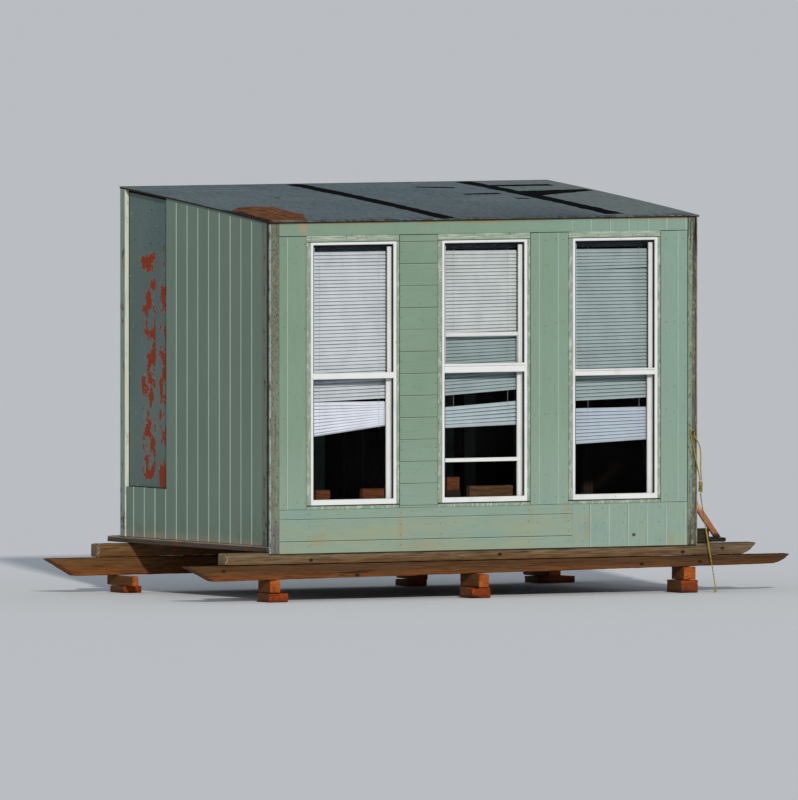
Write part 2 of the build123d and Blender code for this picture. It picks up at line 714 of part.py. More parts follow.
rope("rope_loop", LOOP_ROUTE, {5: NAIL_BEND, 6: NAIL_BEND})
rope("rope_tail", TAIL_ROUTE)
knot_x, knot_y, _ = TAIL_ROUTE[0]
waist = (KNOT_BOTTOM + KNOT_TOP) / 2
knot_sides = Polyline((KNOT_NECK, KNOT_TOP), (0, KNOT_TOP), (0, KNOT_BOTTOM), (KNOT_NECK, KNOT_BOTTOM))
knot_belly = ThreePointArc((KNOT_NECK, KNOT_BOTTOM), (KNOT_RADIUS, waist), (KNOT_NECK, KNOT_TOP))
knot = revolve(Plane.XZ * make_face(knot_sides + knot_belly), Axis.Z)
save("rope_knot", Pos(LENGTH + knot_x, knot_y, 0) * knot)
tail_x, tail_y, _ = TAIL_ROUTE[-1]
end_knot = Cylinder(END_KNOT_RADIUS, END_KNOT_HEIGHT, align=(Align.CENTER, Align.CENTER, Align.MIN))
end_knot = fillet(end_knot.edges().filter_by(GeomType.CIRCLE), END_KNOT_ROUND)
save("rope_end_knot", Pos(LENGTH + tail_x, tail_y, 0) * end_knot)
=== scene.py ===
import bmesh
import bpy
import math
from functools import partialmethod
from types import SimpleNamespace
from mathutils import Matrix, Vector, noise


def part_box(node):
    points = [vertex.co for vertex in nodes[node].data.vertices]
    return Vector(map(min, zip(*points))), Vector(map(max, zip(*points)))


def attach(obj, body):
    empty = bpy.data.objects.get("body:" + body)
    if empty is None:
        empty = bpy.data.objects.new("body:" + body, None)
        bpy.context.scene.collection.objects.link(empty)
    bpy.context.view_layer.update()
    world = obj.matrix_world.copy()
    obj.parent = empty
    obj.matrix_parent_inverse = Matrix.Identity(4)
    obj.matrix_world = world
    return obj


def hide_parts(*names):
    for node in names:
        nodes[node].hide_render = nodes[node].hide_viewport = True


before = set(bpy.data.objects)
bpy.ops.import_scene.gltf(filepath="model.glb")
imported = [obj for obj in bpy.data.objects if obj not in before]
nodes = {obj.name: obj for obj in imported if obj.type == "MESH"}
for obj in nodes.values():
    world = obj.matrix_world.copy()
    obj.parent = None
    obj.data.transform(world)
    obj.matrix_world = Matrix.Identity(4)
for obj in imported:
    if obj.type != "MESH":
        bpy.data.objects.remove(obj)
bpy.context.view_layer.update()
stage = bpy.context.scene

# Camera: a very long lens far off to the front left and a little above, so
# the hut's edges stay almost parallel.
VIEW_TURN = math.radians(29.7)
VIEW_DROP = math.radians(1.98)
VIEW_DISTANCE = 180.0
VIEW_END = 1000.0
AIM = Vector((-0.859, -1.34, 1.229))
LENS = 1336.5


def heading(turn, rise):
    """A unit direction, turned from +Y towards +X and then raised."""
    return Vector((math.sin(turn) * math.cos(rise), math.cos(turn) * math.cos(rise), math.sin(rise)))


def added(name, data):
    """A new object in the scene, untransformed."""
    thing = bpy.data.objects.new(name, data)
    stage.collection.objects.link(thing)
    return thing


sight = heading(VIEW_TURN, -VIEW_DROP)
camera = added("camera", bpy.data.cameras.new("camera"))
camera.data.lens = LENS
camera.data.clip_end = VIEW_END
camera.location = AIM - VIEW_DISTANCE * sight
camera.rotation_euler = sight.to_track_quat("-Z", "Y").to_euler()
stage.camera = camera

# Studio: a pale floor, a pale surround and one broad soft key from the front
# left, low enough to rake over the boards and leave the left wall in shade.
KEY_TURN = math.radians(20)
KEY_HEIGHT = math.radians(25)
KEY_STRENGTH = 2.3
KEY_SPREAD = math.radians(3)
KEY_COLOUR = (1.0, 0.965, 0.91)
SURROUND = (0.78, 0.85, 0.95, 1)
SURROUND_STRENGTH = 0.4
FLOOR_REACH = 400.0
FLOOR_COLOUR = (0.8, 0.81, 0.82, 1)
FLOOR_ROUGHNESS = 0.9
stage.view_settings.view_transform = "Standard"
key = added("key_light", bpy.data.lights.new("key_light", "SUN"))
key.data.energy = KEY_STRENGTH
key.data.angle = KEY_SPREAD
key.data.color = KEY_COLOUR
key.rotation_euler = (-heading(KEY_TURN, -KEY_HEIGHT)).to_track_quat("Z", "Y").to_euler()
stage.world = bpy.data.worlds.new("surround")
stage.world.use_nodes = True
surround = stage.world.node_tree.nodes["Background"].inputs
surround["Color"].default_value = SURROUND
surround["Strength"].default_value = SURROUND_STRENGTH
floor_mesh = bpy.data.meshes.new("floor")
floor_corners = [(FLOOR_REACH * x, FLOOR_REACH * y, 0) for x, y in ((-1, -1), (1, -1), (1, 1), (-1, 1))]
floor_mesh.from_pydata(floor_corners, [], [(0, 1, 2, 3)])
floor_paper = bpy.data.materials.new("floor_paper")
floor_paper.use_nodes = True
paper = floor_paper.node_tree.nodes["Principled BSDF"].inputs
paper["Base Color"].default_value = FLOOR_COLOUR
paper["Roughness"].default_value = FLOOR_ROUGHNESS
floor_mesh.materials.append(floor_paper)
floor = added("floor", floor_mesh)

# Tie rope: three laid strands of faded yellow line. It hangs in a long loop
# from a spike in the right corner board, is knotted, and its tail runs down
# past the timbers to an end knot.
ROPE_DIAMETER = 0.009
ROPE_LAY = 0.034
STRAND = 0.26 * ROPE_DIAMETER
LOOP_ROUTE = [
    (0.011, -0.011, 0.685), (0.011, -0.011, 0.708), (-0.012, -0.012, 0.79),
    (-0.034, -0.013, 0.89), (-0.055, -0.014, 0.955), (-0.055, -0.014, 0.9958),
    (-0.033, -0.014, 0.9958), (-0.033, -0.014, 0.96), (0.008, -0.013, 0.912),
    (0.019, -0.012, 0.845), (0.016, -0.011, 0.765), (0.022, -0.011, 0.71), (0.022, -0.011, 0.685),
]
TAIL_ROUTE = [
    (0.0165, -0.011, 0.612), (0.0165, -0.011, 0.585), (0.108, -0.034, 0.047), (0.108, -0.034, 0.024),
]
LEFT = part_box("front_corner_boards")[0].x
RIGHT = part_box("front_corner_boards")[1].x
LENGTH = RIGHT - LEFT
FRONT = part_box("front_bottom_boards")[0].y


def hut(x, y, z):
    """A place in metres from the hut's outer left end, its front boards and the ground."""
    return Vector((LEFT + x, FRONT + y, z))


class Flow:
    """One value in a node tree. Arithmetic on it adds Math nodes to the tree."""

    def __init__(self, tree, socket=None):
        self.tree = tree
        self.socket = socket

    def node(self, kind, settings=None, *links, out=0, **named):
        """Adds a node: its settings first, then its inputs in order and by name. None skips one."""
        made = self.tree.nodes.new(kind)
        for name, value in (settings or {}).items():
            if name == "stops":
                for _ in value[2:]:
                    made.color_ramp.elements.new(0.5)
                for stop, (place, colour) in zip(made.color_ramp.elements, value):
                    stop.position = place
                    stop.color = (*colour, 1)
            else:
                setattr(made, name, value)
        by_name = {name.replace("_", " "): value for name, value in named.items()}
        for name, value in {**dict(enumerate(links)), **by_name}.items():
            if isinstance(value, Flow):
                self.tree.links.new(value.socket, made.inputs[name])
            elif value is not None:
                made.inputs[name].default_value = value
        return Flow(self.tree, made.outputs[out])

    def math(self, operation, other=0.0):
        return self.node("ShaderNodeMath", {"operation": operation}, self, other)

    def __rsub__(self, other):
        return self.node("ShaderNodeMath", {"operation": "SUBTRACT"}, other, self)

    __add__ = __radd__ = partialmethod(math, "ADD")
    __sub__ = partialmethod(math, "SUBTRACT")
    __mul__ = __rmul__ = partialmethod(math, "MULTIPLY")
    __truediv__ = partialmethod(math, "DIVIDE")
    __pow__ = partialmethod(math, "POWER")
    low = partialmethod(math, "MINIMUM")
    high = partialmethod(math, "MAXIMUM")

    def vector(self, operation, *others, out=0):
        return self.node("ShaderNodeVectorMath", {"operation": operation}, self, *others, out=out)

    def step(self, start, end):
        """A smooth rise from 0 at start to 1 at end."""
        return self.node("ShaderNodeMapRange", {"interpolation_type": "SMOOTHSTEP"}, self, start, end)

    def fall(self, start, end):
        """A smooth fall from 1 at start to 0 at end."""
        return 1 - self.step(start, end)

    def joined(self, *parts):
        """A vector of its parts."""
        return self.node("ShaderNodeCombineXYZ", {}, *parts)

    def split(self):
        """The three parts of a vector."""
        parts = self.node("ShaderNodeSeparateXYZ", {}, self).socket.node.outputs
        return [Flow(self.tree, part) for part in parts]

    def spot(self):
        """A place's distances from the hut's left end and its front boards, and its height."""
        x, y, z = self.split()
        return x - LEFT, y - FRONT, z

    def mark(self, name):
        """A number that the mesh carries on its faces or boards."""
        return self.node("ShaderNodeAttribute", {"attribute_name": name}, out="Fac")

    def grain(self, x, y, z, detail=4.0, rough=0.55):
        """Noise about 0.5 with so many features a metre along each axis, shifted off any grid."""
        drawn = self.vector("MULTIPLY_ADD", (x, y, z), (31.7, 17.3, 5.9))
        looks = {"Vector": drawn, "Scale": 1.0, "Detail": detail, "Roughness": rough}
        return self.node("ShaderNodeTexNoise", {"noise_dimensions": "3D"}, **looks)

    def stir(self, grain, reach):
        """This value pushed about by a noise, half its reach either way."""
        return self + (grain - 0.5) * reach

    def tint(self, colour, other):
        """This value as the share of other laid over colour."""
        ends = [end if isinstance(end, Flow) else (*end, 1) for end in (colour, other)]
        return self.node("ShaderNodeMix", {"data_type": "RGBA"}, self, *5 * [None], *ends, out=2)

    def ramp(self, *stops):
        """Colours that follow this value."""
        return self.node("ShaderNodeValToRGB", {"stops": stops}, self)

    def blot(self, middle, wide, deep, high, fray=1.0):
        """A stain about a place of the hut, 1 at its middle, with a frayed edge."""
        spread = (1 / wide, 1 / deep, 1 / high)
        centre = tuple(-part * times for part, times in zip(hut(*middle), spread))
        reach = self.vector("MULTIPLY_ADD", spread, centre).vector("LENGTH", out="Value")
        return reach.stir(self.grain(30, 30, 22), 2 * fray).fall(0.45, 1.0)


def coats(ground, *layers):
    """A colour with others laid over it in turn, each with its own share."""
    for share, colour in layers:
        ground = share.tint(ground, colour)
    return ground


def finish(name, paint, *details, relief=0.001, **fixed):
    """A material whose paint gives colour, roughness, height and perhaps alpha from the place."""
    made = bpy.data.materials.new(name)
    made.use_nodes = True
    at = Flow(made.node_tree).node("ShaderNodeTexCoord", out="Object")
    colour, rough, height, *alpha = paint(at, *details)
    bump = at.node("ShaderNodeBump", Distance=relief, Height=height)
    sockets = {"Base_Color": colour, "Roughness": rough, "Normal": bump, "Specular_IOR_Level": 0.12, **fixed}
    if alpha:
        sockets["Alpha"] = alpha[0]
    for label, value in sockets.items():
        socket = made.node_tree.nodes["Principled BSDF"].inputs[label.replace("_", " ")]
        if isinstance(value, Flow):
            made.node_tree.links.new(value.socket, socket)
        else:
            socket.default_value = value
    return made


def wear(node, material):
    """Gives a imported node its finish."""
    nodes[node].data.materials.clear()
    nodes[node].data.materials.append(material)


def place(piece, material, slot, *stands_for):
    """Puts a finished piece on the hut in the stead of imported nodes."""
    piece.data.materials.clear()
    piece.data.materials.append(material)
    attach(piece, "root")
    if stands_for:
        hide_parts(*stands_for)
    return piece


def open_tree(name, **inputs):
    """A geometry tree with named inputs, and those inputs as values."""
    tree = bpy.data.node_groups.new(name, "GeometryNodeTree")
    kinds = {"Geometry": "Geometry", **inputs, "Material": "Material"}
    for label, kind in kinds.items():
        label = label.replace("_", " ")
        tree.interface.new_socket(label, in_out="INPUT", socket_type="NodeSocket" + kind)
    tree.interface.new_socket("Geometry", in_out="OUTPUT", socket_type="NodeSocketGeometry")
    source = tree.nodes.new("NodeGroupInput").outputs
    return tree, SimpleNamespace(**{label: Flow(tree, socket) for label, socket in zip(kinds, source)})


def close_tree(shape, inputs):
    """Ends a tree with real instances and its material."""
    real = shape.node("GeometryNodeRealizeInstances", {}, shape)
    done = real.node("GeometryNodeSetMaterial", Geometry=real, Material=inputs.Material)
    shape.tree.links.new(done.socket, shape.tree.nodes.new("NodeGroupOutput").inputs[0])


def keep(piece, modifier):
    """Keeps what a modifier makes as the piece's plain mesh."""
    ready = bpy.context.evaluated_depsgraph_get()
    plain = bpy.data.meshes.new_from_object(
        piece.evaluated_get(ready), preserve_all_data_layers=True, depsgraph=ready
    )
    piece.modifiers.remove(modifier)
    piece.data = plain
    return piece


def grow(name, tree, mesh=None, **values):
    """Runs a tree on a mesh with its inputs, and keeps the result as a plain mesh."""
    piece = added(name, mesh or bpy.data.meshes.new(name))
    run = piece.modifiers.new("grow", "NODES")
    run.node_group = tree
    for item in tree.interface.items_tree:
        label = item.name.replace(" ", "_")
        if item.in_out == "INPUT" and label in values:
            run[item.identifier] = values[label]
    return keep(piece, run)


def faded_line(at):
    fibre = at.grain(900, 900, 260)
    dirt = at.grain(14, 14, 14).step(0.45, 0.62)
    colour = fibre.ramp((0.3, (0.19, 0.13, 0.012)), (0.6, (0.47, 0.36, 0.042)), (0.85, (0.6, 0.5, 0.13)))
    return (dirt * 0.5).tint(colour, (0.16, 0.11, 0.03)), 0.75, fibre


rope_tree, ins = open_tree("laid_strands", Strand="Float", Ring="Float", Lay="Float")
line = ins.Geometry.node("GeometryNodeMeshToCurve", {}, ins.Geometry)
length = line.node("GeometryNodeSplineParameter", out="Length")
turned = line.node("GeometryNodeSetCurveTilt", Curve=line, Tilt=length / ins.Lay * (2 * math.pi))
ring = line.node("GeometryNodeCurvePrimitiveCircle", Resolution=3, Radius=ins.Ring)
strand = line.node("GeometryNodeCurvePrimitiveCircle", Resolution=7, Radius=ins.Strand)
dots = ring.node("GeometryNodeCurveToPoints", {"mode": "EVALUATED"}, ring)
strands = dots.node("GeometryNodeInstanceOnPoints", Points=dots, Instance=strand)
section = strands.node("GeometryNodeRealizeInstances", {}, strands)
laid = turned.node("GeometryNodeCurveToMesh", Curve=turned, Profile_Curve=section, Fill_Caps=True)
close_tree(laid, ins)
rope_yellow = finish("rope_yellow", faded_line, relief=0.0006)


def laid_rope(name, node, spots):
    """Lays the strands along the smooth line that the spots lead."""
    curve = bpy.data.curves.new(name, "CURVE")
    curve.dimensions = "3D"
    spline = curve.splines.new("NURBS")
    spline.points.add(len(spots) - 1)
    for point, spot in zip(spline.points, spots):
        point.co = (*spot, 1)
    spline.order_u = 3
    spline.use_endpoint_u = True
    smooth = bpy.data.objects.new(name + "_route", curve)
    path = bpy.data.meshes.new_from_object(smooth)
    points = [vertex.co.copy() for vertex in path.vertices]
    bpy.data.objects.remove(smooth)
    ring = ROPE_DIAMETER / 2 - STRAND
    piece = grow(name, rope_tree, path, Strand=STRAND, Ring=ring, Lay=ROPE_LAY, Material=rope_yellow)
    return place(piece, rope_yellow, "rope", node), points


def wound_knot(name, node, turns, lean):
    """A knot: turns of the same rope pulled tight, each leaning its own way."""
    low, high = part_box(node)
    core = (high.x - low.x) / 2 - 0.55 * ROPE_DIAMETER
    rise = high.z - low.z - 1.2 * ROPE_DIAMETER
    spots = []
    for n in range(8 * turns + 1):
        turn = n * math.pi / 4
        height = rise * (n / (8 * turns) - 0.5) + lean * math.sin(turn + 0.9 * (n // 8))
        height = max(-rise / 2, min(rise / 2, height))
        spots.append((low + high) / 2 + Vector((core * math.cos(turn), core * math.sin(turn), height)))
    return laid_rope(name, node, spots)[0]


def line_length(points):
    return sum((b - a).length for a, b in zip(points, points[1:]))


corner_foot = Vector((RIGHT, FRONT, 0))
knot = wound_knot("rope_knot_turns", "rope_knot", 6, 0.004)
end_knot = wound_knot("rope_end_knot_turns", "rope_end_knot", 2, 0.001)
for name, node, route, far_end, ends_in in (
    ("rope_loop_strands", "rope_loop", LOOP_ROUTE, "object", knot),
    ("rope_tail_strands", "rope_tail", TAIL_ROUTE, "knot", end_knot),
):
    rope, rope_line = laid_rope(name, node, [corner_foot + Vector(spot) for spot in route])
    line_length(rope_line)


def rusty_iron(at):
    scale = at.grain(160, 160, 160)
    rust = ((0.3, (0.035, 0.018, 0.012)), (0.55, (0.13, 0.05, 0.022)), (0.75, (0.27, 0.11, 0.04)))
    return scale.ramp(*rust), 0.8, scale


old_iron = finish("old_iron", rusty_iron, relief=0.0008)
wear("rope_nail", old_iron)

# Runners and skid beams: rough sawn softwood timbers, hewn to a tip at the
# ends by hand, grey on top and still orange along the lower edges.
TIMBER_VOXEL = 0.008
TIMBER_WEAR = 0.0035
HEART_OFFSET = 0.035
RINGS = 420.0
KNOT_DEPTH = 0.02


def weathered(node, material, slot, stretch, voxel=TIMBER_VOXEL, depth=TIMBER_WEAR, bite=None, name=None):
    """A node's solid as old timber: edges rubbed round, faces worn back along the grain."""
    mesh = nodes[node].data.copy()
    shape = bmesh.new()
    shape.from_mesh(mesh)
    bmesh.ops.remove_doubles(shape, verts=shape.verts, dist=1e-5)
    shape.to_mesh(mesh)
    shape.free()
    piece = added(name or "worn_" + node, mesh)
    remesh = piece.modifiers.new("remesh", "REMESH")
    remesh.voxel_size = voxel
    remesh.use_smooth_shade = True
    mesh = keep(piece, remesh).data
    moves = []
    for vertex in mesh.vertices:
        spot = Vector([part * times for part, times in zip(vertex.co, stretch)])
        worn = depth * min(1.0, max(0.0, 0.5 + 0.5 * noise.fractal(spot, 1.0, 2.1, 4)))
        if bite:
            worn += bite(vertex.co)
        moves.append(vertex.co - worn * vertex.normal)
    mesh.vertices.foreach_set("co", [part for spot in moves for part in spot])
    mesh.update()
    return place(piece, material, slot, node)


def timber_paint(at, grey, warm, low, high, moss, end, knots):
    """Old softwood along X, warm near its lower edge and grey above, with knots and checks."""
    x, y, z = at.spot()
    fine = at.grain(7, 150, 150, 5)
    rise = ((z - low) / (high - low)).stir(at.grain(1.3, 22, 22), 1.1).step(0.05, 0.7)
    colour = coats(
        rise.tint(warm, grey),
        (fine.step(0.35, 0.68) * 0.75, 0.3 * Vector(warm)),
        (at.grain(5, 60, 60).step(0.55, 0.8) * 0.5, 1.7 * Vector(grey)),
    )
    if moss is not None:
        reach = x.step(-0.27, -0.18) * x.fall(moss - 0.15, moss + 0.15)
        green = at.grain(4, 20, 20).step(0.46, 0.6) * reach
        colour = (green * 0.5).tint(colour, (0.095, 0.095, 0.022))
    colour = (x.step(2.7, 3.1) * 0.35).tint(colour, 0.35 * Vector(grey))
    relief = fine
    for knot_x, knot_z in knots:
        knot = at.blot((knot_x, KNOT_DEPTH, knot_z), 0.02, 0.2, 0.013, 0.35)
        colour = (knot * 0.9).tint(colour, (0.014, 0.007, 0.004))
        relief = relief - knot * 0.6
    check = at.grain(2.2, 75, 75, 2).fall(0.25, 0.33)
    colour = (check * 0.8).tint(colour, (0.01, 0.007, 0.005))
    if end is not None:
        away = ((y - end.y - HEART_OFFSET) ** 2.0 + (z - end.z) ** 2.0) ** 0.5
        rings = (away * RINGS).math("SINE").step(-0.6, 0.9).tint((0.1, 0.07, 0.04), (0.33, 0.26, 0.17))
        colour = ((x - end.x).fall(0.006, 0.022) * 0.75).tint(colour, rings)
    return colour, 0.86, relief - check * 0.9


for node, grey, warm, moss, sawn_end, knots in (
    ("front_runner", (0.092, 0.052, 0.024), (0.215, 0.068, 0.015), None, False,
     ((-0.31, 0.195), (0.62, 0.155), (3.03, 0.19), (2.62, 0.182))),
    ("rear_runner", (0.15, 0.073, 0.028), (0.23, 0.073, 0.017), None, False, ()),
    ("front_skid_beam", (0.205, 0.145, 0.085), (0.165, 0.085, 0.034), 0.35, True,
     ((0.3, 0.252), (1.62, 0.262), (3.19, 0.268), (2.91, 0.252))),
    ("rear_skid_beam", (0.2, 0.115, 0.05), (0.18, 0.08, 0.026), None, True, ()),
):
    low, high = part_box(node)
    end = Vector((low.x - LEFT, low.y - FRONT, (low.z + high.z) / 2)) if sawn_end else None
    looks = (grey, warm, low.z, high.z, moss, end, knots)
    weathered(node, finish(node + "_wood", timber_paint, *looks, relief=0.0035), "runner_wood", (9, 75, 75))

# Loose blocks: short offcuts of building lumber stacked two high under each
# runner, sun bleached orange, split and ragged at their ends.
BLOCK_VOXEL = 0.006
BLOCK_WEAR = 0.004
BROKEN_CORNER = (1.37, -0.03, 0.03)
BROKEN_REACH = 0.11


def block_paint(at, sunny, dull):
    x, y, z = at.spot()
    fine = at.grain(60, 7, 110, 5)
    return coats(
        at.grain(9, 9, 14).step(0.35, 0.68).tint(sunny, dull),
        (fine.step(0.45, 0.7) * 0.6, 0.3 * Vector(dull)),
        (at.grain(70, 12, 90).step(0.6, 0.72) * 0.5, (0.55, 0.2, 0.045)),
        (x.step(2.0, 2.2) * z.fall(0.055, 0.065) * 0.65, (0.11, 0.036, 0.012)),
        # Painted shade: faces turned to -X are darkened, as if in shade under the runners.
        (at.mark("side").step(0.3, 0.7) * (fine * 0.5 + 0.6), (0.085, 0.046, 0.02)),
        (z.stir(at.grain(8, 8, 8), 0.05).fall(0.0, 0.03) * 0.75, (0.03, 0.012, 0.006)),
    ), 0.88, fine


def ragged(spot):
    """The broken corner of the middle front block."""
    near = (spot - hut(*BROKEN_CORNER)).length
    return max(0.0, 0.028 * (1 - near / BROKEN_REACH)) * (0.4 + 0.9 * abs(noise.noise(40 * spot)))


for node, bite, sunny, dull in (
    ("upper_support_blocks", None, (0.42, 0.11, 0.018), (0.27, 0.055, 0.009)),
    ("lower_support_blocks", ragged, (0.32, 0.052, 0.008), (0.15, 0.028, 0.005)),
):
    wood = finish(node + "_wood", block_paint, sunny, dull, relief=0.003)
    blocks = weathered(node, wood, "block_wood", (70, 10, 90), BLOCK_VOXEL, BLOCK_WEAR, bite)
    # The face mark is how far each face turns to -X, and it drives the painted shade on the blocks' sides.
    side = blocks.data.attributes.new("side", "FLOAT", "FACE")
    for face, mark in zip(blocks.data.polygons, side.data):
        mark.value = -face.normal.x

# Sill planks, sills and joists: dark damp framing lumber laid on the skid
# beams, the side planks with patches of rust red and a thin pale upper lip.
lip_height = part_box("side_sill_planks")[1].z


def damp_lumber(at):
    x, y, z = at.split()
    fine = at.grain(110, 6, 110, 5)
    lip = z.stir(at.grain(6, 6, 6), 0.006).step(lip_height - 0.013, lip_height - 0.009)
    return coats(
        (0.078, 0.064, 0.053),
        (at.grain(5, 7, 16).step(0.5, 0.62), (0.15, 0.055, 0.024)),
        (lip * z.fall(lip_height + 0.001, lip_height + 0.002) * 0.8, (0.3, 0.25, 0.17)),
        (fine.step(0.5, 0.7) * 0.5, (0.01, 0.008, 0.007)),
    ), 0.8, fine


def sill_paint(at):
    fine = at.grain(6, 110, 110, 5)
    stops = ((0.3, (0.012, 0.009, 0.006)), (0.62, (0.04, 0.031, 0.017)), (0.8, (0.065, 0.052, 0.03)))
    return fine.ramp(*stops), 0.85, fine


dark_planks = finish("dark_planks", damp_lumber, relief=0.003)
dark_sill = finish("dark_sill", sill_paint, relief=0.002)
weathered("side_sill_planks", dark_planks, "dark_timber", (75, 9, 75), name="worn_sill_planks")
weathered("front_and_rear_sills", dark_sill, "dark_timber", (9, 75, 75), 0.01, 0.002)
wear("floor_joists", dark_sill)

# Front boarding: tongued softwood boards with bevelled edges, painted sage
# green, nailed level in the bands and between the left windows and upright
# elsewhere. The bevels that face the light carry a painted highlight and the
# bevels turned away carry painted shade.
BOARD = 0.1336
TONGUE = 0.006
UP = 9.0
FACING_FRONT = (1, -1)
# Bevel marks: painted highlight on a bevel that faces the light, painted shade on one turned away.
LIT_BEVEL = 1.0
SHADED_BEVEL = -1.0
PLAY = 0.0006
ROOF_RISE = 0.17
ROOF_CROWN = 0.007
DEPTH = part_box("rear_wall_boards")[1].y - FRONT
roof_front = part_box("front_top_board")[1].z


def closed(name, shape):
    """Ends closed parts as a mesh that faces outward."""
    bmesh.ops.recalc_face_normals(shape, faces=shape.faces)
    mesh = bpy.data.meshes.new(name)
    shape.to_mesh(mesh)
    shape.free()
    return mesh


def bar(shape, ends):
    """Adds a bar between two like outlines, and tells its side faces."""
    one, two = [[shape.verts.new(spot) for spot in end] for end in ends]
    shape.faces.new(one)
    shape.faces.new(two)
    return [shape.faces.new((one[n - 1], one[n], two[n], two[n - 1])) for n in range(len(one))]


def tongued_board(low, high, across, facing, bevel, gap):
    """A board between two corners with a tongue along one edge and its outer edges bevelled."""
    depth, way = facing
    along = 3 - across - depth
    wide = high[across] - low[across] - gap
    thick = high[depth] - low[depth]
    outside = low[depth] if way < 0 else high[depth]
    # The bevel that faces the light gets the painted highlight mark, the other the painted shade mark.
    low_mark, high_mark = (SHADED_BEVEL, LIT_BEVEL) if across == 2 else (LIT_BEVEL, SHADED_BEVEL)
    outline = (
        (0, bevel, low_mark), (bevel, 0, 0), (wide - bevel, 0, high_mark), (wide, bevel, 0),
        (wide, 0.4 * thick, 0), (wide + TONGUE, 0.4 * thick, 0), (wide + TONGUE, 0.65 * thick, 0),
        (wide, 0.65 * thick, 0), (wide, thick, 0), (0, thick, 0), (0, 0.68 * thick, 0),
        (TONGUE, 0.68 * thick, 0), (TONGUE, 0.37 * thick, 0), (0, 0.37 * thick, 0),
    )
    shape = bmesh.new()
    mark = shape.faces.layers.float.new("edge")
    ends = [[], []]
    for corners, end in zip(ends, (low[along], high[along])):
        for u, v, _ in outline:
            spot = Vector()
            spot[across] = low[across] + u
            spot[depth] = outside - way * v
            spot[along] = end
            corners.append(spot)
    for n, side in enumerate(bar(shape, ends)):
        side[mark] = outline[n - 1][2]
    return closed("board", shape)


def roof_over(deep):
    """Height of the roof's underside so far behind the front boards."""
    share = deep / DEPTH
    return roof_front + ROOF_RISE * share + 4 * ROOF_CROWN * share * (1 - share)


board_tree, ins = open_tree(
    "board_run", Step="Vector", Count="Int", Low="Vector", High="Vector", Seed="Int", Play="Float",
)
row = ins.Step.node("GeometryNodeMeshLine", {"mode": "OFFSET"}, Count=ins.Count, Offset=ins.Step)
run = row.node("GeometryNodeInstanceOnPoints", Points=row, Instance=ins.Geometry)
tone = row.node("FunctionNodeRandomValue", {"data_type": "FLOAT"}, Seed=ins.Seed, out=1)
stored = {"data_type": "FLOAT", "domain": "INSTANCE"}
run = run.node("GeometryNodeStoreNamedAttribute", stored, Geometry=run, Name="tone", Value=tone)
least, most = [row.joined(*3 * [ins.Play * sign]) for sign in (-1.0, 1.0)]
about = {"data_type": "FLOAT_VECTOR"}
shift = row.node("FunctionNodeRandomValue", about, Min=least, Max=most, Seed=ins.Seed)
run = run.node("GeometryNodeTranslateInstances", {}, run, Translation=shift, Local_Space=False)
real = run.node("GeometryNodeRealizeInstances", {}, run)
held = real.node("GeometryNodeInputPosition").vector("MAXIMUM", ins.Low).vector("MINIMUM", ins.High)
x, y, z = held.split()
cut = z.joined(x, y, z.low(roof_over(y - FRONT)))
close_tree(real.node("GeometryNodeSetPosition", Geometry=real, Position=cut), ins)


def boards(name, node, facing, across, first, low, high, paint, seed, bevel, gap, play=PLAY):
    """Boards side by side from one that starts at first, filling a space under the roof."""
    start = low.copy()
    end = high.copy()
    start[across] = first
    end[across] = first + BOARD
    step = Vector()
    step[across] = BOARD
    piece = grow(
        name, board_tree, tongued_board(start, end, across, facing, bevel, gap), Step=step,
        Count=math.ceil((high[across] - first) / BOARD), Low=low, High=high, Seed=seed, Play=play,
        Material=paint,
    )
    return place(piece, paint, "green_boards", node)


# Stains of the front boarding, as middle, width and height in metres.
OCHRE_STAINS = (
    (0.34, 0.37, 0.1, 0.05), (0.91, 0.44, 0.022, 0.16), (1.05, 0.33, 0.2, 0.035),
    (1.83, 0.52, 0.018, 0.06), (2.07, 0.51, 0.03, 0.08), (2.215, 0.42, 0.025, 0.1),
    (2.8, 0.33, 0.05, 0.05), (0.12, 0.31, 0.05, 0.02),
)


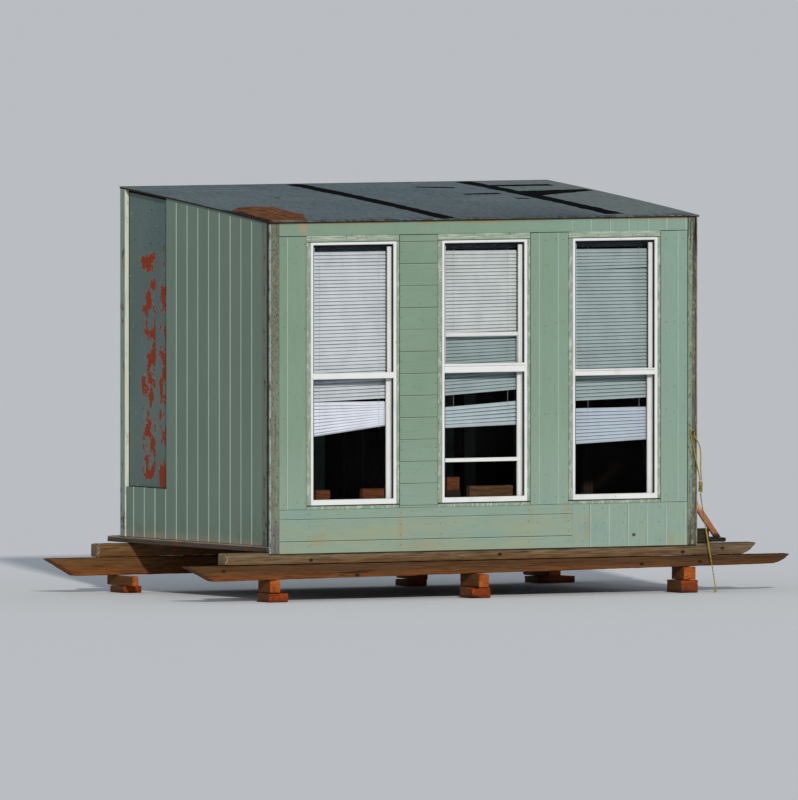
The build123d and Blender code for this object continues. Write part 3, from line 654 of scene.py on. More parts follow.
def green_paint(at, along, painted_highlight_edges, painted_shade_edges):
    """Sage green paint on rough sawn boards, bluer and stained near the foot."""
    x, y, z = at.spot()
    edge = at.mark("edge")
    fine = at.grain(*along, 5)
    cloud = at.grain(2.2, 2.2, 1.2).step(0.3, 0.7) * 0.6 + at.mark("tone") * 0.4
    foot = z.stir(at.grain(3, 3, 3), 0.5).fall(0.5, 1.25)
    blue = at.grain(3.1, 3.1, 6, 2).step(0.52, 0.66) * z.fall(0.45, 0.75)
    level = (z - siding_low.z).fall(0.17, 0.22) * x.fall(2.23, 2.26)
    warm = at.grain(2.5, 2.5, 9).step(0.36, 0.62) * level
    warm = warm.high(at.grain(4.5, 4.5, 7).step(0.5, 0.64) * 0.6)
    stains = [at.blot((x0, 0, z0), wide, 0.5, high, 0.8) * 0.36 for x0, z0, wide, high in OCHRE_STAINS]
    top = z.stir(at.grain(5, 5, 5), 0.03).step(roof_front - 0.024, roof_front - 0.004)
    return coats(
        cloud.tint((0.19, 0.283, 0.2), (0.228, 0.318, 0.24)),
        (x.step(1.2, 2.9) * 0.8, (0.245, 0.352, 0.292)),
        (foot * 0.55, (0.285, 0.37, 0.31)),
        (blue * 0.4, (0.19, 0.33, 0.31)),
        (fine.step(0.45, 0.75) * 0.22, (0.13, 0.19, 0.14)),
        (warm * z.fall(0.42, 0.56) * 0.38, (0.345, 0.335, 0.185)),
        *((stain, (0.33, 0.27, 0.14)) for stain in stains),
        (at.grain(60, 60, 60, 2).step(0.71, 0.76) * 0.6, (0.04, 0.045, 0.035)),
        (top * at.grain(3, 3, 3).step(0.35, 0.55) * 0.75, (0.3, 0.21, 0.09)),
        (at.blot((0.232, 0, 2.275), 0.034, 0.5, 0.06, 1.6) * 0.5, (0.44, 0.25, 0.12)),
        (at.blot((2.552, 0, 0.364), 0.016, 0.5, 0.011, 0.8) * 0.9, (0.045, 0.03, 0.015)),
        # Painted highlight on bevels that face the light, painted shade on bevels turned away.
        (edge.step(0.4, 0.6) * painted_highlight_edges, (0.48, 0.58, 0.47)),
        (edge.fall(-0.6, -0.4) * painted_shade_edges, (0.06, 0.075, 0.055)),
        # Faces behind the painted front are near black: dark bare wood, darkened further as painted shade of
        # the hut's inside.
        (y.step(0.006, 0.0075), (0.01, 0.009, 0.006)),
    ), 0.72, fine + at.grain(40, 40, 40) * 0.3


siding_low, siding_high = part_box("front_bottom_boards")
level_green = finish("level_green", green_paint, (8, 160, 160), 0.4, 0.6, relief=0.0012)
upright_green = finish("upright_green", green_paint, (160, 160, 8), 0.8, 0.25, relief=0.0012)
UPRIGHT = (0.0035, 0.001)
LEVEL = (0.003, 0.001)
SMOOTH = (0.0015, 0.0)
LEVEL_SEAM = 0.4105
BAND_GAP = 0.0035
FOOT_GAP = 0.002
CASING_GAP = 0.002
SHADED_GAP = 0.007
CASING_WIDTH = 0.645
wall_low, wall_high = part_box("front_boards_between_windows")
ends_low, ends_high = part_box("front_end_boards")
top_low, top_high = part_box("front_top_board")
casing_low, casing_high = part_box("window_casings")
window_pitch = (casing_high.x - casing_low.x - CASING_WIDTH) / 2
windows = [casing_low.x + n * window_pitch for n in range(3)]
beside = [left + CASING_WIDTH + SHADED_GAP for left in windows]


def wall_span(start_x, end_x):
    """Corners of the boarding between the lower and the upper band."""
    low = Vector((start_x, wall_low.y, wall_low.z + FOOT_GAP))
    return low, Vector((end_x, wall_high.y, wall_high.z)) - Vector((0, 0, BAND_GAP))


def patch_span(node):
    """Corners of a patch of boarding, a little short of the boards beside it."""
    low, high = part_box(node)
    return low + Vector((0.0015, 0, 0)), high - Vector((0.003, 0, 0))


for name, node, across, groove, (low, high), seed, cut in (
    ("front_bottom_boarding", "front_bottom_boards", 2, siding_low.z + 0.0715,
     (siding_low, siding_high), 3, LEVEL),
    ("front_top_boarding", "front_top_board", 2, top_low.z, (top_low, top_high), 7, SMOOTH),
    ("front_bottom_patch_boarding", "front_bottom_patch", 0, LEFT + 2.244,
     patch_span("front_bottom_patch"), 5, UPRIGHT),
    ("front_top_patch_boarding", "front_top_patch", 0, LEFT + 2.249,
     patch_span("front_top_patch"), 9, UPRIGHT),
    ("front_upright_boarding", "front_boards_between_windows", 0, LEFT + 1.883,
     wall_span(beside[1], windows[2] - CASING_GAP), 13, UPRIGHT),
    ("front_left_end_boarding", "front_end_boards", 0, LEFT + 0.121,
     wall_span(ends_low.x, windows[0] - 0.001), 15, UPRIGHT),
    ("front_right_end_boarding", "front_end_boards", 0, LEFT + 2.861,
     wall_span(beside[2], ends_high.x - 0.005), 17, UPRIGHT),
    ("front_level_boarding", "front_boards_between_windows", 2, siding_low.z + LEVEL_SEAM,
     wall_span(beside[0], windows[1] - CASING_GAP), 11, LEVEL),
):
    green = level_green if across == 2 else upright_green
    first = groove - BOARD * math.ceil((groove - low[across]) / BOARD)
    boards(name, node, FACING_FRONT, across, first, low, high, green, seed, *cut)

# Nails of the front boarding: rusted round heads set nearly flush, one at
# each end of a level board and at the top and foot of an upright one.
NAIL_HEAD = 0.0028
NAIL_PROUD = 0.0006
nail_tree, ins = open_tree("nail_heads", Radius="Float", Proud="Float")
head = ins.Radius.node("GeometryNodeMeshCylinder", Vertices=9, Radius=ins.Radius, Depth=ins.Proud)
driven = {"Points": ins.Geometry, "Instance": head, "Rotation": (math.pi / 2, 0, 0)}
close_tree(head.node("GeometryNodeInstanceOnPoints", **driven), ins)
level_rows = [siding_low.z + LEVEL_SEAM + (n - 0.5) * BOARD for n in range(13)]
nail_spots = []
for start, columns, rows, sideways, upward, wild in (
    (0, (windows[0] + CASING_WIDTH + 0.017, windows[1] - 0.016),
     [z for z in level_rows if z < wall_high.z - 0.03], 0.0, 0.02, (9, 7, 0)),
    (LEFT, (0.272, 0.915, 1.19, 1.81, 2.09), (0.335, 0.395, 0.46, 0.53), 0.008, 0.0, (40, 31, 0)),
    (0, [LEFT + 2.2 + n * BOARD for n in range(5)], (0.33, 0.44, 0.53), 0.03, 0.0, (20, 31, 3)),
    (LEFT, (0.1, 0.19, 0.245, 1.852, 1.93, 2.0, 2.055, 2.78, 2.84, 2.9), (0.6, 1.12, 1.66, 2.17),
     0.0, 0.03, (50, 11, 6)),
):
    for x in columns:
        for z in rows:
            astray = noise.noise(Vector((wild[0] * x, wild[1] * z, wild[2])))
            nail_spots.append((start + x + sideways * astray, FRONT, z + upward * astray))
nail_mesh = bpy.data.meshes.new("front_nails")
nail_mesh.from_pydata(nail_spots, [], [])
nails = grow("front_nails", nail_tree, nail_mesh, Radius=NAIL_HEAD, Proud=2 * NAIL_PROUD, Material=old_iron)
place(nails, old_iron, "iron")

# Corner boards: narrow softwood boards nailed over the wall corners. The
# front ones have lost most of their paint and show grey checked wood.
# A pale line painted on the rear corner board where its front edge catches the light: a painted highlight.
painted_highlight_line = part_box("side_corner_boards")[1].y - FRONT - 0.058


def bare_corner(at):
    x, y, z = at.spot()
    right = x.step(1.4, 1.6)
    left = 1 - right
    across = LENGTH - x
    fine = at.grain(120, 120, 60, 5, 0.7)
    wood = fine.ramp((0.32, (0.07, 0.062, 0.046)), (0.5, (0.165, 0.16, 0.12)), (0.7, (0.245, 0.245, 0.195)))
    flakes = at.grain(75, 75, 48, 6, 0.75).step(0.5, 0.56)
    inner = right * across.step(0.035, 0.043) * z.step(0.42, 0.5)
    patches = (at.grain(60, 60, 20, 5) + 0.1).step(0.46, 0.54)
    lowered = left * z.stir(at.grain(8, 8, 5), 0.5).fall(1.25, 1.7) * (x.step(0.02, 0.045) * 0.6 + 0.4)
    kept = (flakes * (0.55 - right * 0.35)).high(inner * patches).high(lowered * patches * 0.9)
    low_part = left * z.stir(at.grain(9, 9, 9), 0.1).fall(0.44, 0.5)
    # Painted shadow: a near black line down the left post's right edge, for the gap beside the boards.
    gap = x.step(0.067, 0.0685) * left * z.fall(1.7, 2.0)
    rim = x.fall(0.003, 0.009) * at.grain(30, 30, 12).step(0.38, 0.5)
    specks = at.grain(95, 95, 60).step(0.6, 0.66)
    scales = at.grain(80, 80, 26, 5, 0.7).step(0.55, 0.62) * right
    check = (at.grain(60, 60, 1.6, 3) - right * 0.06).fall(0.3, 0.36)
    wander = across.stir(at.grain(6, 6, 6, 3), 0.012)
    split = wander.step(0.013, 0.015) * wander.fall(0.0175, 0.0195) * at.grain(9, 9, 9).step(0.4, 0.48)
    outer = across.fall(0.0045, 0.0075) * at.grain(14, 14, 7).step(0.38, 0.48)
    return coats(
        (right * 0.5).tint(wood, (0.1, 0.075, 0.05)),
        (kept * (1 - low_part), right.tint((0.185, 0.225, 0.165), (0.19, 0.265, 0.2))),
        (low_part * 0.6, (0.145, 0.155, 0.15)),
        # Painted shadow line beside the left post.
        (gap * 0.85, (0.014, 0.013, 0.01)),
        (rim * 0.8, (0.4, 0.47, 0.42)),
        (specks * 0.8, (0.018, 0.016, 0.012)),
        (scales * 0.6, (0.36, 0.36, 0.3)),
        (check * (0.35 + right * 0.6), (0.01, 0.008, 0.006)),
        (split * right * 0.9, (0.016, 0.013, 0.01)),
        (outer * right * 0.75, (0.36, 0.41, 0.34)),
    ), 0.85, fine * 0.6 + kept * 0.5 - check - specks * 0.4


def painted_corner(at):
    x, y, z = at.spot()
    fine = at.grain(150, 150, 7, 5)
    front = y.fall(0.5, 0.6)
    chips = (at.grain(28, 28, 10, 6, 0.7) + z.fall(0.3, 0.9) * 0.09).step(0.6, 0.63)
    streak = at.grain(190, 190, 2.5, 3).step(0.56, 0.64) * front
    return coats(
        at.grain(2, 2, 2).tint((0.2, 0.26, 0.2), (0.255, 0.32, 0.245)),
        (front * 0.8, (0.15, 0.165, 0.128)),
        (chips, (0.1, 0.08, 0.055)),
        (streak * 0.25, (0.06, 0.062, 0.048)),
        (front * y.fall(0.028, 0.034) * 0.9, (0.012, 0.011, 0.009)),
        # Painted highlight along the rear corner board's lit front edge.
        ((y - painted_highlight_line).math("ABSOLUTE").fall(0.0015, 0.003) * 0.85, (0.72, 0.73, 0.6)),
        (fine.step(0.5, 0.75) * 0.25, (0.08, 0.11, 0.08)),
    ), 0.75, fine - chips - streak


bare_board = finish("bare_corner_wood", bare_corner, relief=0.003)
weathered("front_corner_boards", bare_board, "weathered_boards", (60, 60, 5), 0.005, 0.0022)
wear("side_corner_boards", finish("corner_green", painted_corner, relief=0.0015))

# Left wall: upright boards behind the corner boards, short ones under the
# panel, and a painted plywood panel let in flush where an opening was.
FACING_LEFT = (0, -1)
WALL = (0.0065, 0.0025, 0.0008)
GROOVES_FROM = 0.088
SKIN = (0.0185, 0.0188)


# The wall green is a darker copy of the front's green: the shade of the walls turned from the key light is
# painted in.
def shaded_green(at):
    x, y, z = at.spot()
    tone = at.mark("tone")
    edge = at.mark("edge")
    fine = at.grain(160, 160, 6, 5)
    cloud = at.grain(1.6, 1.6, 1.0).step(0.3, 0.7) * 0.5 + tone * 0.5
    foot = at.grain(7, 7, 9).step(0.47, 0.64) * z.stir(at.grain(5, 5, 5), 0.25).fall(0.34, 0.5)
    splash = (z - under_low.z).stir(at.grain(9, 9, 9), 0.06).fall(0.005, 0.06)
    inside_shade = x.step(*SKIN).low((LENGTH - x).step(*SKIN)) * (DEPTH - y).step(*SKIN)
    return coats(
        cloud.tint((0.15, 0.212, 0.168), (0.192, 0.262, 0.214)),
        (y.fall(0.1, 0.9) * tone.step(0.35, 0.65) * 0.5, (0.175, 0.2, 0.155)),
        (fine.step(0.45, 0.75) * 0.25, (0.13, 0.18, 0.14)),
        (foot * 0.3, (0.12, 0.11, 0.06)),
        (splash * 0.55, (0.31, 0.255, 0.185)),
        # Painted highlight on bevels that face the light, painted shade on bevels turned away.
        (edge.step(0.4, 0.6) * 0.5, (0.46, 0.54, 0.44)),
        (edge.fall(-0.6, -0.4) * 0.5, (0.05, 0.06, 0.045)),
        # Inside faces near black: dark bare wood, darkened further as painted shade of the hut's inside.
        (inside_shade, (0.014, 0.01, 0.007)),
    ), 0.75, fine


left_low, left_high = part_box("left_wall_boards")
under_low, under_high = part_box("left_low_boards")
left_high.z = UP
wall_green = finish("wall_green", shaded_green, relief=0.0012)
for name, node, low, high, first in (
    ("left_wall_boarding", "left_wall_boards", left_low, left_high, -1),
    ("left_low_boarding", "left_low_boards", under_low, under_high, 9),
):
    start = FRONT + GROOVES_FROM + first * BOARD
    boards(name, node, FACING_LEFT, 1, start, low, high, wall_green, 21 + first, *WALL)
panel_low, panel_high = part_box("left_infill_panel")


def peeled_panel(at):
    x, y, z = at.split()
    across = (y - panel_low.y) / (panel_high.y - panel_low.y)
    strips = across.fall(0.2, 0.26).high(across.step(0.29, 0.34) * across.fall(0.6, 0.72))
    strips = strips * z.step(0.62, 0.72) * z.fall(2.06, 2.16)
    corner = at.blot((0, 1.36, 0.7), 0.3, 0.07, 0.11, 0.5)
    patch = at.grain(13, 13, 10, 6, 0.7) + strips * 0.175 + corner * 0.22
    red = patch.step(0.665, 0.675)
    chips = at.grain(48, 48, 48, 3).step(0.64, 0.68) * z.step(1.9, 2.2)
    # Painted shadow: near black lines along the panel's rear edge and foot, where it sits back from the
    # boards beside it.
    rim = across.step(0.975, 0.985).high((z - panel_low.z).fall(0.004, 0.008))
    return coats(
        at.grain(2.5, 2.5, 1.5).step(0.3, 0.7).tint((0.105, 0.15, 0.142), (0.128, 0.178, 0.162)),
        (chips * 0.8, (0.025, 0.025, 0.02)),
        (red, (0.25, 0.04, 0.014)),
        (patch.step(0.648, 0.66) * (1 - red) * 0.3, (0.46, 0.5, 0.45)),
        (at.grain(55, 55, 40, 2).step(0.7, 0.74) * 0.5, (0.55, 0.58, 0.52)),
        (rim * 0.85, (0.012, 0.011, 0.009)),
    ), 0.7, at.grain(60, 60, 60) * 0.4 - red * 0.8 - chips


wear("left_infill_panel", finish("panel_paint", peeled_panel, relief=0.0012))
wear("panel_cleats", dark_sill)

# Rear and right walls: the same upright boards, with a plain ledged door of
# boards in the right wall, hung on two strap hinges and kept by a hasp.
back_low, back_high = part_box("rear_wall_boards")
right_low, right_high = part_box("right_wall_boards")
over_low, over_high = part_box("boards_over_door")
back_high.z = right_high.z = UP
for name, node, depth, low, high in (
    ("rear_wall_boarding", "rear_wall_boards", 1, back_low, back_high),
    ("right_front_boarding", "right_wall_boards", 0, right_low, Vector((right_high.x, over_low.y, UP))),
    ("right_rear_boarding", "right_wall_boards", 0,
     Vector((right_low.x, over_high.y, right_low.z)), right_high),
    ("over_door_boarding", "boards_over_door", 0, over_low, Vector((right_high.x, over_high.y, UP))),
    ("door_boarding", "door_leaf", 0, *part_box("door_leaf")),
):
    across = 1 - depth
    boards(name, node, (depth, 1), across, low[across] - BOARD / 2, low, high, wall_green, 31, *WALL)
wear("door_hinges_and_hasp", old_iron)

# Windows: three double hung ones. Each has a flat casing with flaking green
# paint and a white box frame whose outer face and crossbar stand proud.
CASING_SIDES = (0.025, 0.025, 0.026, 0.041)
FACE_SIDES = (0.017, 0.017, 0.031, 0.016)
REBATE_SIDES = (0.025, 0.025, 0.031, 0.016)
BOX_SIDES = (0.02, 0.02, 0.008, 0.008)
CASING_FRONT = -0.005
CASING_BACK = 0.019
REBATE_FRONT = -0.0015
FACE_BACK = 0.001
CASING_HEAD = 2.184
MEETING_LINES = (1.367, 1.401, 1.361)
CROSSBARS = (0.037, 0.055, 0.04)
CROSSBAR_INSET = 0.0165
STOP_WIDTH = 0.022
STOP_SECTION = [(0.034, 0.5935), (0.034, 0.8285), (0.046, 0.8285), (0.046, 0.5935)]
frame_low, frame_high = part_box("window_frames")


def mitred(shape, left, right, bottom, top, sides, section):
    """A closed ring of moulding. A section point is a share of its side, an offset and a depth."""
    rings = []
    for share, offset, depth in section:
        west, east, low, high = [share * width + offset for width in sides]
        corners = ((left + west, bottom + low), (right - east, bottom + low),
                   (right - east, top - high), (left + west, top - high))
        rings.append([shape.verts.new((x, FRONT + depth, z)) for x, z in corners])
    for one, two in zip(rings, rings[1:] + rings[:1]):
        for n in range(4):
            shape.faces.new((one[n], one[n - 3], two[n - 3], two[n]))


def level_bar(shape, left, right, section):
    """A bar along X with a closed section of depths and heights."""
    bar(shape, [[(x, FRONT + depth, z) for depth, z in section] for x in (left, right)])


def joined(name, shape, material, slot, *stands_for):
    """Ends a mesh of several closed parts as one piece."""
    return place(added(name, closed(name, shape)), material, slot, *stands_for)


def flat_section(front, back, lip=0.002, inner=0.003):
    """Section of a flat board from front to back with eased edges."""
    return [
        (0, 0, back), (0, 0, front + lip), (0, lip, front), (1, -inner, front), (1, 0, front + inner),
        (1, 0, back),
    ]


def casing_paint(at):
    x, y, z = at.split()
    fine = at.grain(120, 120, 12, 5)
    head = z.step(CASING_HEAD, CASING_HEAD + 0.004)
    sides = (at.grain(70, 70, 22, 6, 0.7) * (1 - head)).step(0.5, 0.6)
    white = sides.high((at.grain(9, 60, 150, 6, 0.7) * head).step(0.44, 0.6))
    chips = at.grain(90, 90, 45, 5, 0.7).step(0.62, 0.66)
    # Painted shadow: a near black line on the casing just under the frame's proud sill.
    sill_shadow = z.step(frame_low.z - 0.008, frame_low.z - 0.006) * z.fall(frame_low.z, frame_low.z + 0.001)
    head_gap = z.step(frame_high.z, frame_high.z + 0.0005) * z.fall(CASING_HEAD - 0.0015, CASING_HEAD)
    return coats(
        at.grain(3, 3, 3).tint((0.215, 0.295, 0.215), (0.265, 0.34, 0.26)),
        (white * 0.6, (0.58, 0.61, 0.52)),
        (chips * 0.8, (0.085, 0.065, 0.045)),
        # Painted shadow under the frame's sill, and the dark joint over its head.
        (sill_shadow.high(head_gap), (0.012, 0.011, 0.009)),
    ), 0.7, fine - chips


def white_paint(at):
    x, y, z = at.spot()
    chips = at.grain(50, 50, 30, 5, 0.7).step(0.68, 0.7)
    # Painted shade: near black on the frame's inner reveals behind its outer face and behind the lower sash.
    painted_reveal_shade = y.step(-0.003, -0.002) * z.step(0.617, 0.6175)
    painted_reveal_shade = painted_reveal_shade * y.fall(0.014, 0.0155).high(y.step(0.0465, 0.048))
    return coats(
        (0.76, 0.765, 0.75),
        (at.grain(9, 9, 6).step(0.5, 0.75) * 0.35, (0.5, 0.5, 0.45)),
        (chips * 0.85, (0.13, 0.095, 0.065)),
        # The same near black on the upper sash's top rail and the box head behind the outer face: painted
        # shade under the head.
        (painted_reveal_shade.high(y.step(0.002, 0.004) * z.step(2.146, 2.149)), (0.012, 0.013, 0.015)),
    ), 0.5, at.grain(60, 60, 25) * 0.5 - chips


casing_green = finish("casing_green", casing_paint, relief=0.0012)
window_white = finish("window_white", white_paint, relief=0.0006)
casings = bmesh.new()
boxes = bmesh.new()
frames = []
frame_front = frame_low.y - FRONT
for n, left in enumerate(windows):
    right = left + CASING_WIDTH
    casing = flat_section(CASING_FRONT, CASING_BACK)
    mitred(casings, left, right, casing_low.z, casing_high.z, CASING_SIDES, casing)
    inner = (left + CASING_SIDES[0], right - CASING_SIDES[0])
    frames.append(inner)
    for sides, section in (
        (FACE_SIDES, flat_section(frame_front, FACE_BACK, 0.0015, 0.004)),
        (REBATE_SIDES, flat_section(REBATE_FRONT, FACE_BACK, 0.0003, 0.0003)),
        (BOX_SIDES, flat_section(0.0, frame_high.y - FRONT, 0.0005, 0.0005)),
    ):
        mitred(boxes, *inner, frame_low.z, frame_high.z, sides, section)
    low = MEETING_LINES[n] - CROSSBARS[n] / 2
    high = low + CROSSBARS[n]
    front = frame_front + 0.0005
    rail = [(FACE_BACK, low), (front + 0.003, low), (front, low + 0.003)]
    if n:
        slit = high - 0.27 * CROSSBARS[n]
        rail += [(front, slit - 0.003), (front + 0.008, slit), (front + 0.001, slit + 0.0015)]
    rail += [(front, high - 0.003), (front + 0.003, high), (FACE_BACK, high)]
    level_bar(boxes, inner[0] + CROSSBAR_INSET, inner[1] - CROSSBAR_INSET, rail)
for start in (frames[1][0] + BOX_SIDES[0] + 0.0005, frames[1][1] - BOX_SIDES[1] - 0.0005 - STOP_WIDTH):
    level_bar(boxes, start, start + STOP_WIDTH, STOP_SECTION)
joined("moulded_casings", casings, casing_green, "green_boards", "window_casings")
joined("moulded_frames", boxes, window_white, "white_wood", "window_frames")

# Sashes: thin stiles and rails in two tracks, chamfered towards the glass.
# The middle window's lower sash is pushed up; the panes are plain clear glass.
UPPER_SIDES = (0.022, 0.022, 0.026, 0.022)
LOWER_SIDES = (0.022, 0.022, 0.023, 0.026)
SASH_THICKNESS = 0.014
SASH_CLEARANCE = 0.0005
LOWER_HEIGHT = 0.787
LOWER_RAISED = (0.0, 0.236, 0.0)
uppers = bmesh.new()
lowers = bmesh.new()
for n, (left, right) in enumerate(frames):
    foot = MEETING_LINES[n] - UPPER_SIDES[2] / 2
    sill = frame_low.z + BOX_SIDES[2] + LOWER_RAISED[n]
    for shape, node, low, high, sides in (
        (uppers, "upper_sashes", foot, frame_high.z - BOX_SIDES[3], UPPER_SIDES),
        (lowers, "lower_sashes", sill, sill + LOWER_HEIGHT, LOWER_SIDES),
    ):
        inset = BOX_SIDES[0] + SASH_CLEARANCE
        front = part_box(node)[0].y - FRONT
        section = flat_section(front, front + SASH_THICKNESS, 0.001, 0.005)
        mitred(shape, left + inset, right - inset, low, high, sides, section)
joined("chamfered_upper_sashes", uppers, window_white, "white_wood", "upper_sashes")
joined("chamfered_lower_sashes", lowers, window_white, "white_wood", "lower_sashes")


def pane_glass(at):
    smear = at.grain(6, 6, 2.5, 5).step(0.45, 0.8)
    film = at.grain(7, 7, 3, 6).step(0.45, 0.85) * 0.02
    alpha = film + at.node("ShaderNodeFresnel", IOR=1.45) * 0.25 + 0.002
    return smear.tint((0.02, 0.022, 0.024), (0.05, 0.055, 0.058)), smear * 0.15 + 0.04, smear, alpha


wear("window_panes", finish("clear_glass", pane_glass, relief=0.0002, Specular_IOR_Level=0.5))

# Blinds: light grey bowed slats on ladder tapes, hung from a folded headrail
# and ended by a foot rail. They hang unevenly; the middle one is torn and its
# lowest slats hang askew.
SLAT_WIDTH = 0.025
SLAT_TILT = math.radians(57)
SLAT_THICKNESS = 0.0006
SLAT_DEPTH = 0.078
SLAT_RELIEF = 0.0002
slat_tree, ins = open_tree(
    "blind_slats", Middle="Vector", Length="Float", Count="Int", Width="Float", Tilt="Float",
    First_Left="Float", First_Right="Float", Last_Left="Float", Last_Right="Float", Seed="Int",
)
hang = ins.Middle.node(
    "GeometryNodeMeshLine", {"mode": "OFFSET"}, Count=ins.Count, Start_Location=ins.Middle, Offset=(0, 0, 0),
)
share = hang.node("GeometryNodeInputIndex") / (ins.Count - 1.0)
left_end = ins.First_Left + (ins.Last_Left - ins.First_Left) * share
right_end = ins.First_Right + (ins.Last_Right - ins.First_Right) * share
drop = hang.joined(0.0, 0.0, (left_end + right_end) * 0.5)
hang = hang.node("GeometryNodeSetPosition", Geometry=hang, Offset=drop)
slat = hang.node("GeometryNodeMeshGrid", Size_X=ins.Length, Size_Y=ins.Width, Vertices_X=9, Vertices_Y=5)
x, y, z = slat.node("GeometryNodeInputPosition").split()
bow = ((y / ins.Width) ** 2.0) * -0.01 + ((x / ins.Length) ** 2.0) * 0.004
slat = slat.node("GeometryNodeSetPosition", Geometry=slat, Position=slat.joined(x, y, bow))
number = {"data_type": "FLOAT"}
swing, lie = [
    hang.node("FunctionNodeRandomValue", number, None, None, -most, most, out=1, Seed=ins.Seed)
    for most in (0.07, 0.003)
]
lean = (left_end - right_end) / ins.Length
turn = hang.node("FunctionNodeEulerToRotation", {}, hang.joined(ins.Tilt + swing, lean + lie))
close_tree(hang.node("GeometryNodeInstanceOnPoints", Points=hang, Instance=slat, Rotation=turn), ins)


def slat_paint(at, light):
    dust = at.grain(9, 9, 5).step(0.35, 0.75)
    return (dust * 0.3).tint(light, 0.6 * Vector(light)), 0.45, dust


blind_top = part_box("window_blinds")[1].z
# Runs of slats in each blind: heights of the first and the last slat at their
# left and right ends, how many, and their colour, lighter or darker run by run
# as painted light and shade.
BLIND_RUNS = (
    ((1.817, 1.816, 0.926, 0.941, 42, (0.63, 0.68, 0.72)),
     (0.9046, 0.9012, 0.7103, 0.78, 10, (0.8, 0.84, 0.94))),
    ((1.809, 1.807, 1.33, 1.339, 23, (0.61, 0.66, 0.66)),
     (1.308, 1.318, 0.948, 0.98, 18, (0.36, 0.45, 0.46)),
     (0.855, 0.8873, 0.7535, 0.7686, 6, (0.47, 0.57, 0.6))),
    ((1.806, 1.804, 1.702, 1.71, 6, (0.37, 0.46, 0.46)),
     (1.684, 1.6805, 0.902, 0.9155, 37, (0.37, 0.46, 0.46)),
     (0.8334, 0.8367, 0.6383, 0.663, 10, (0.5, 0.58, 0.66))),
)
LADDERS = ((0.107, 0.519), (0.124, 0.504), (0.152, 0.512))
TAPE_WIDTH = 0.0012
HEADRAIL = (
    (0.074, 0.048), (0.074, 0.001), (0.094, 0.001), (0.094, 0.048),
    (0.092, 0.048), (0.092, 0.003), (0.076, 0.003), (0.076, 0.048),
)
FOOT_RAIL = [(0.069, 0.0), (0.069, 0.008), (0.087, 0.008), (0.087, 0.0)]
headrails = bmesh.new()
tapes = bmesh.new()
slats = []
for (left, right), runs, ladders in zip(frames, BLIND_RUNS, LADDERS):
    for *heights, count, colour in runs:
        name = f"blind_slats_{len(slats) + 1}"
        grey = finish(name + "_grey", slat_paint, colour, relief=SLAT_RELIEF)
        heights = [siding_low.z + height for height in heights]
        piece = grow(
            name, slat_tree, Middle=((left + right) / 2, FRONT + SLAT_DEPTH, 0), Count=count,
            Length=right - left - 2 * BOX_SIDES[0] - 0.008, Width=SLAT_WIDTH, Tilt=SLAT_TILT,
            Seed=51 + len(slats), Material=grey,
            **dict(zip(("First_Left", "First_Right", "Last_Left", "Last_Right"), heights)),
        )
        piece.modifiers.new("thickness", "SOLIDIFY").thickness = SLAT_THICKNESS
        slats.append(place(piece, grey, "blind_slats"))
    rail = [(depth, blind_top - drop) for depth, drop in HEADRAIL]
    level_bar(headrails, left + BOX_SIDES[0] + 0.003, right - BOX_SIDES[0] - 0.003, rail)
    last_left, last_right = heights[2:]
    foot = (last_left + last_right) / 2
    for inset in ladders:
        tape = [(0.0705, foot), (0.0705, blind_top - 0.05), (0.071, blind_top - 0.05), (0.071, foot)]
        level_bar(tapes, left + inset, left + inset + TAPE_WIDTH, tape)
    level_bar(tapes, left + 0.024, right - 0.024, FOOT_RAIL)
    for corner in tapes.verts:
        if corner.co.z < 0.1:
            across = (corner.co.x - left) / (right - left)
            corner.co.z += last_left + (last_right - last_left) * across - 0.014
# The headrail is painted near black: painted shade under the window head.
headrail_shade = finish("headrail_grey", slat_paint, (0.045, 0.06, 0.072), relief=SLAT_RELIEF)
joined("blind_headrails", headrails, headrail_shade, "blind_slats")
tape_grey = finish("ladder_tape_grey", slat_paint, (0.42, 0.47, 0.49), relief=SLAT_RELIEF)
joined("blind_ladder_tapes", tapes, tape_grey, "blind_slats")
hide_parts("window_blinds")

# Props: rough offcuts of framing lumber that stand on the inner sill boards of
# the left and the middle window. The lower of the two stacked offcuts in the
# middle window is painted near black as painted shade under the one on it.
OFFCUTS = (
    (0.352, 0.45, 0.5945, 0.674, 0.052, 0.09), (0.679, 0.83, 0.5945, 0.677, 0.055, 0.093),
    (1.427, 1.731, 0.5945, 0.68, 0.054, 0.092), (1.262, 1.361, 0.5945, 0.655, 0.05, 0.1),
    (1.272, 1.357, 0.6565, 0.737, 0.056, 0.094),
)
EASED = 0.004
offcuts = bmesh.new()
for left, right, foot, top, front, back in OFFCUTS:
    outline = [
        (front + EASED, foot), (front, foot + EASED), (front, top - EASED), (front + EASED, top),
        (back - EASED, top), (back, top - EASED), (back, foot + EASED), (back - EASED, foot),
    ]
    level_bar(offcuts, LEFT + left, LEFT + right, outline)
bmesh.ops.subdivide_edges(offcuts, edges=offcuts.edges, cuts=5, use_grid_fill=True)
noise.seed_set(1)
for vertex in offcuts.verts:
    vertex.co += 0.0015 * noise.noise_vector(45 * vertex.co)


def offcut_paint(at):
    x, y, z = at.spot()
    fine = at.grain(14, 60, 130, 5)
    grain = fine.step(0.35, 0.68)
    right = x.step(1.38, 1.42)
    # Painted shade: the lower stacked offcut in the middle window is near black.
    low = (z - 0.652).fall(0.0, 0.002) * x.step(1.2, 1.25) * (1 - right)
    return coats(
        grain.tint((0.06, 0.02, 0.008), (0.145, 0.046, 0.018)),
        (right * 0.8, grain.tint((0.045, 0.026, 0.012), (0.095, 0.057, 0.028))),
        (low * 0.9, (0.012, 0.01, 0.008)),
    ), 0.9, fine


joined("sill_offcuts", offcuts, finish("offcut_wood", offcut_paint, relief=0.002), "block_wood")


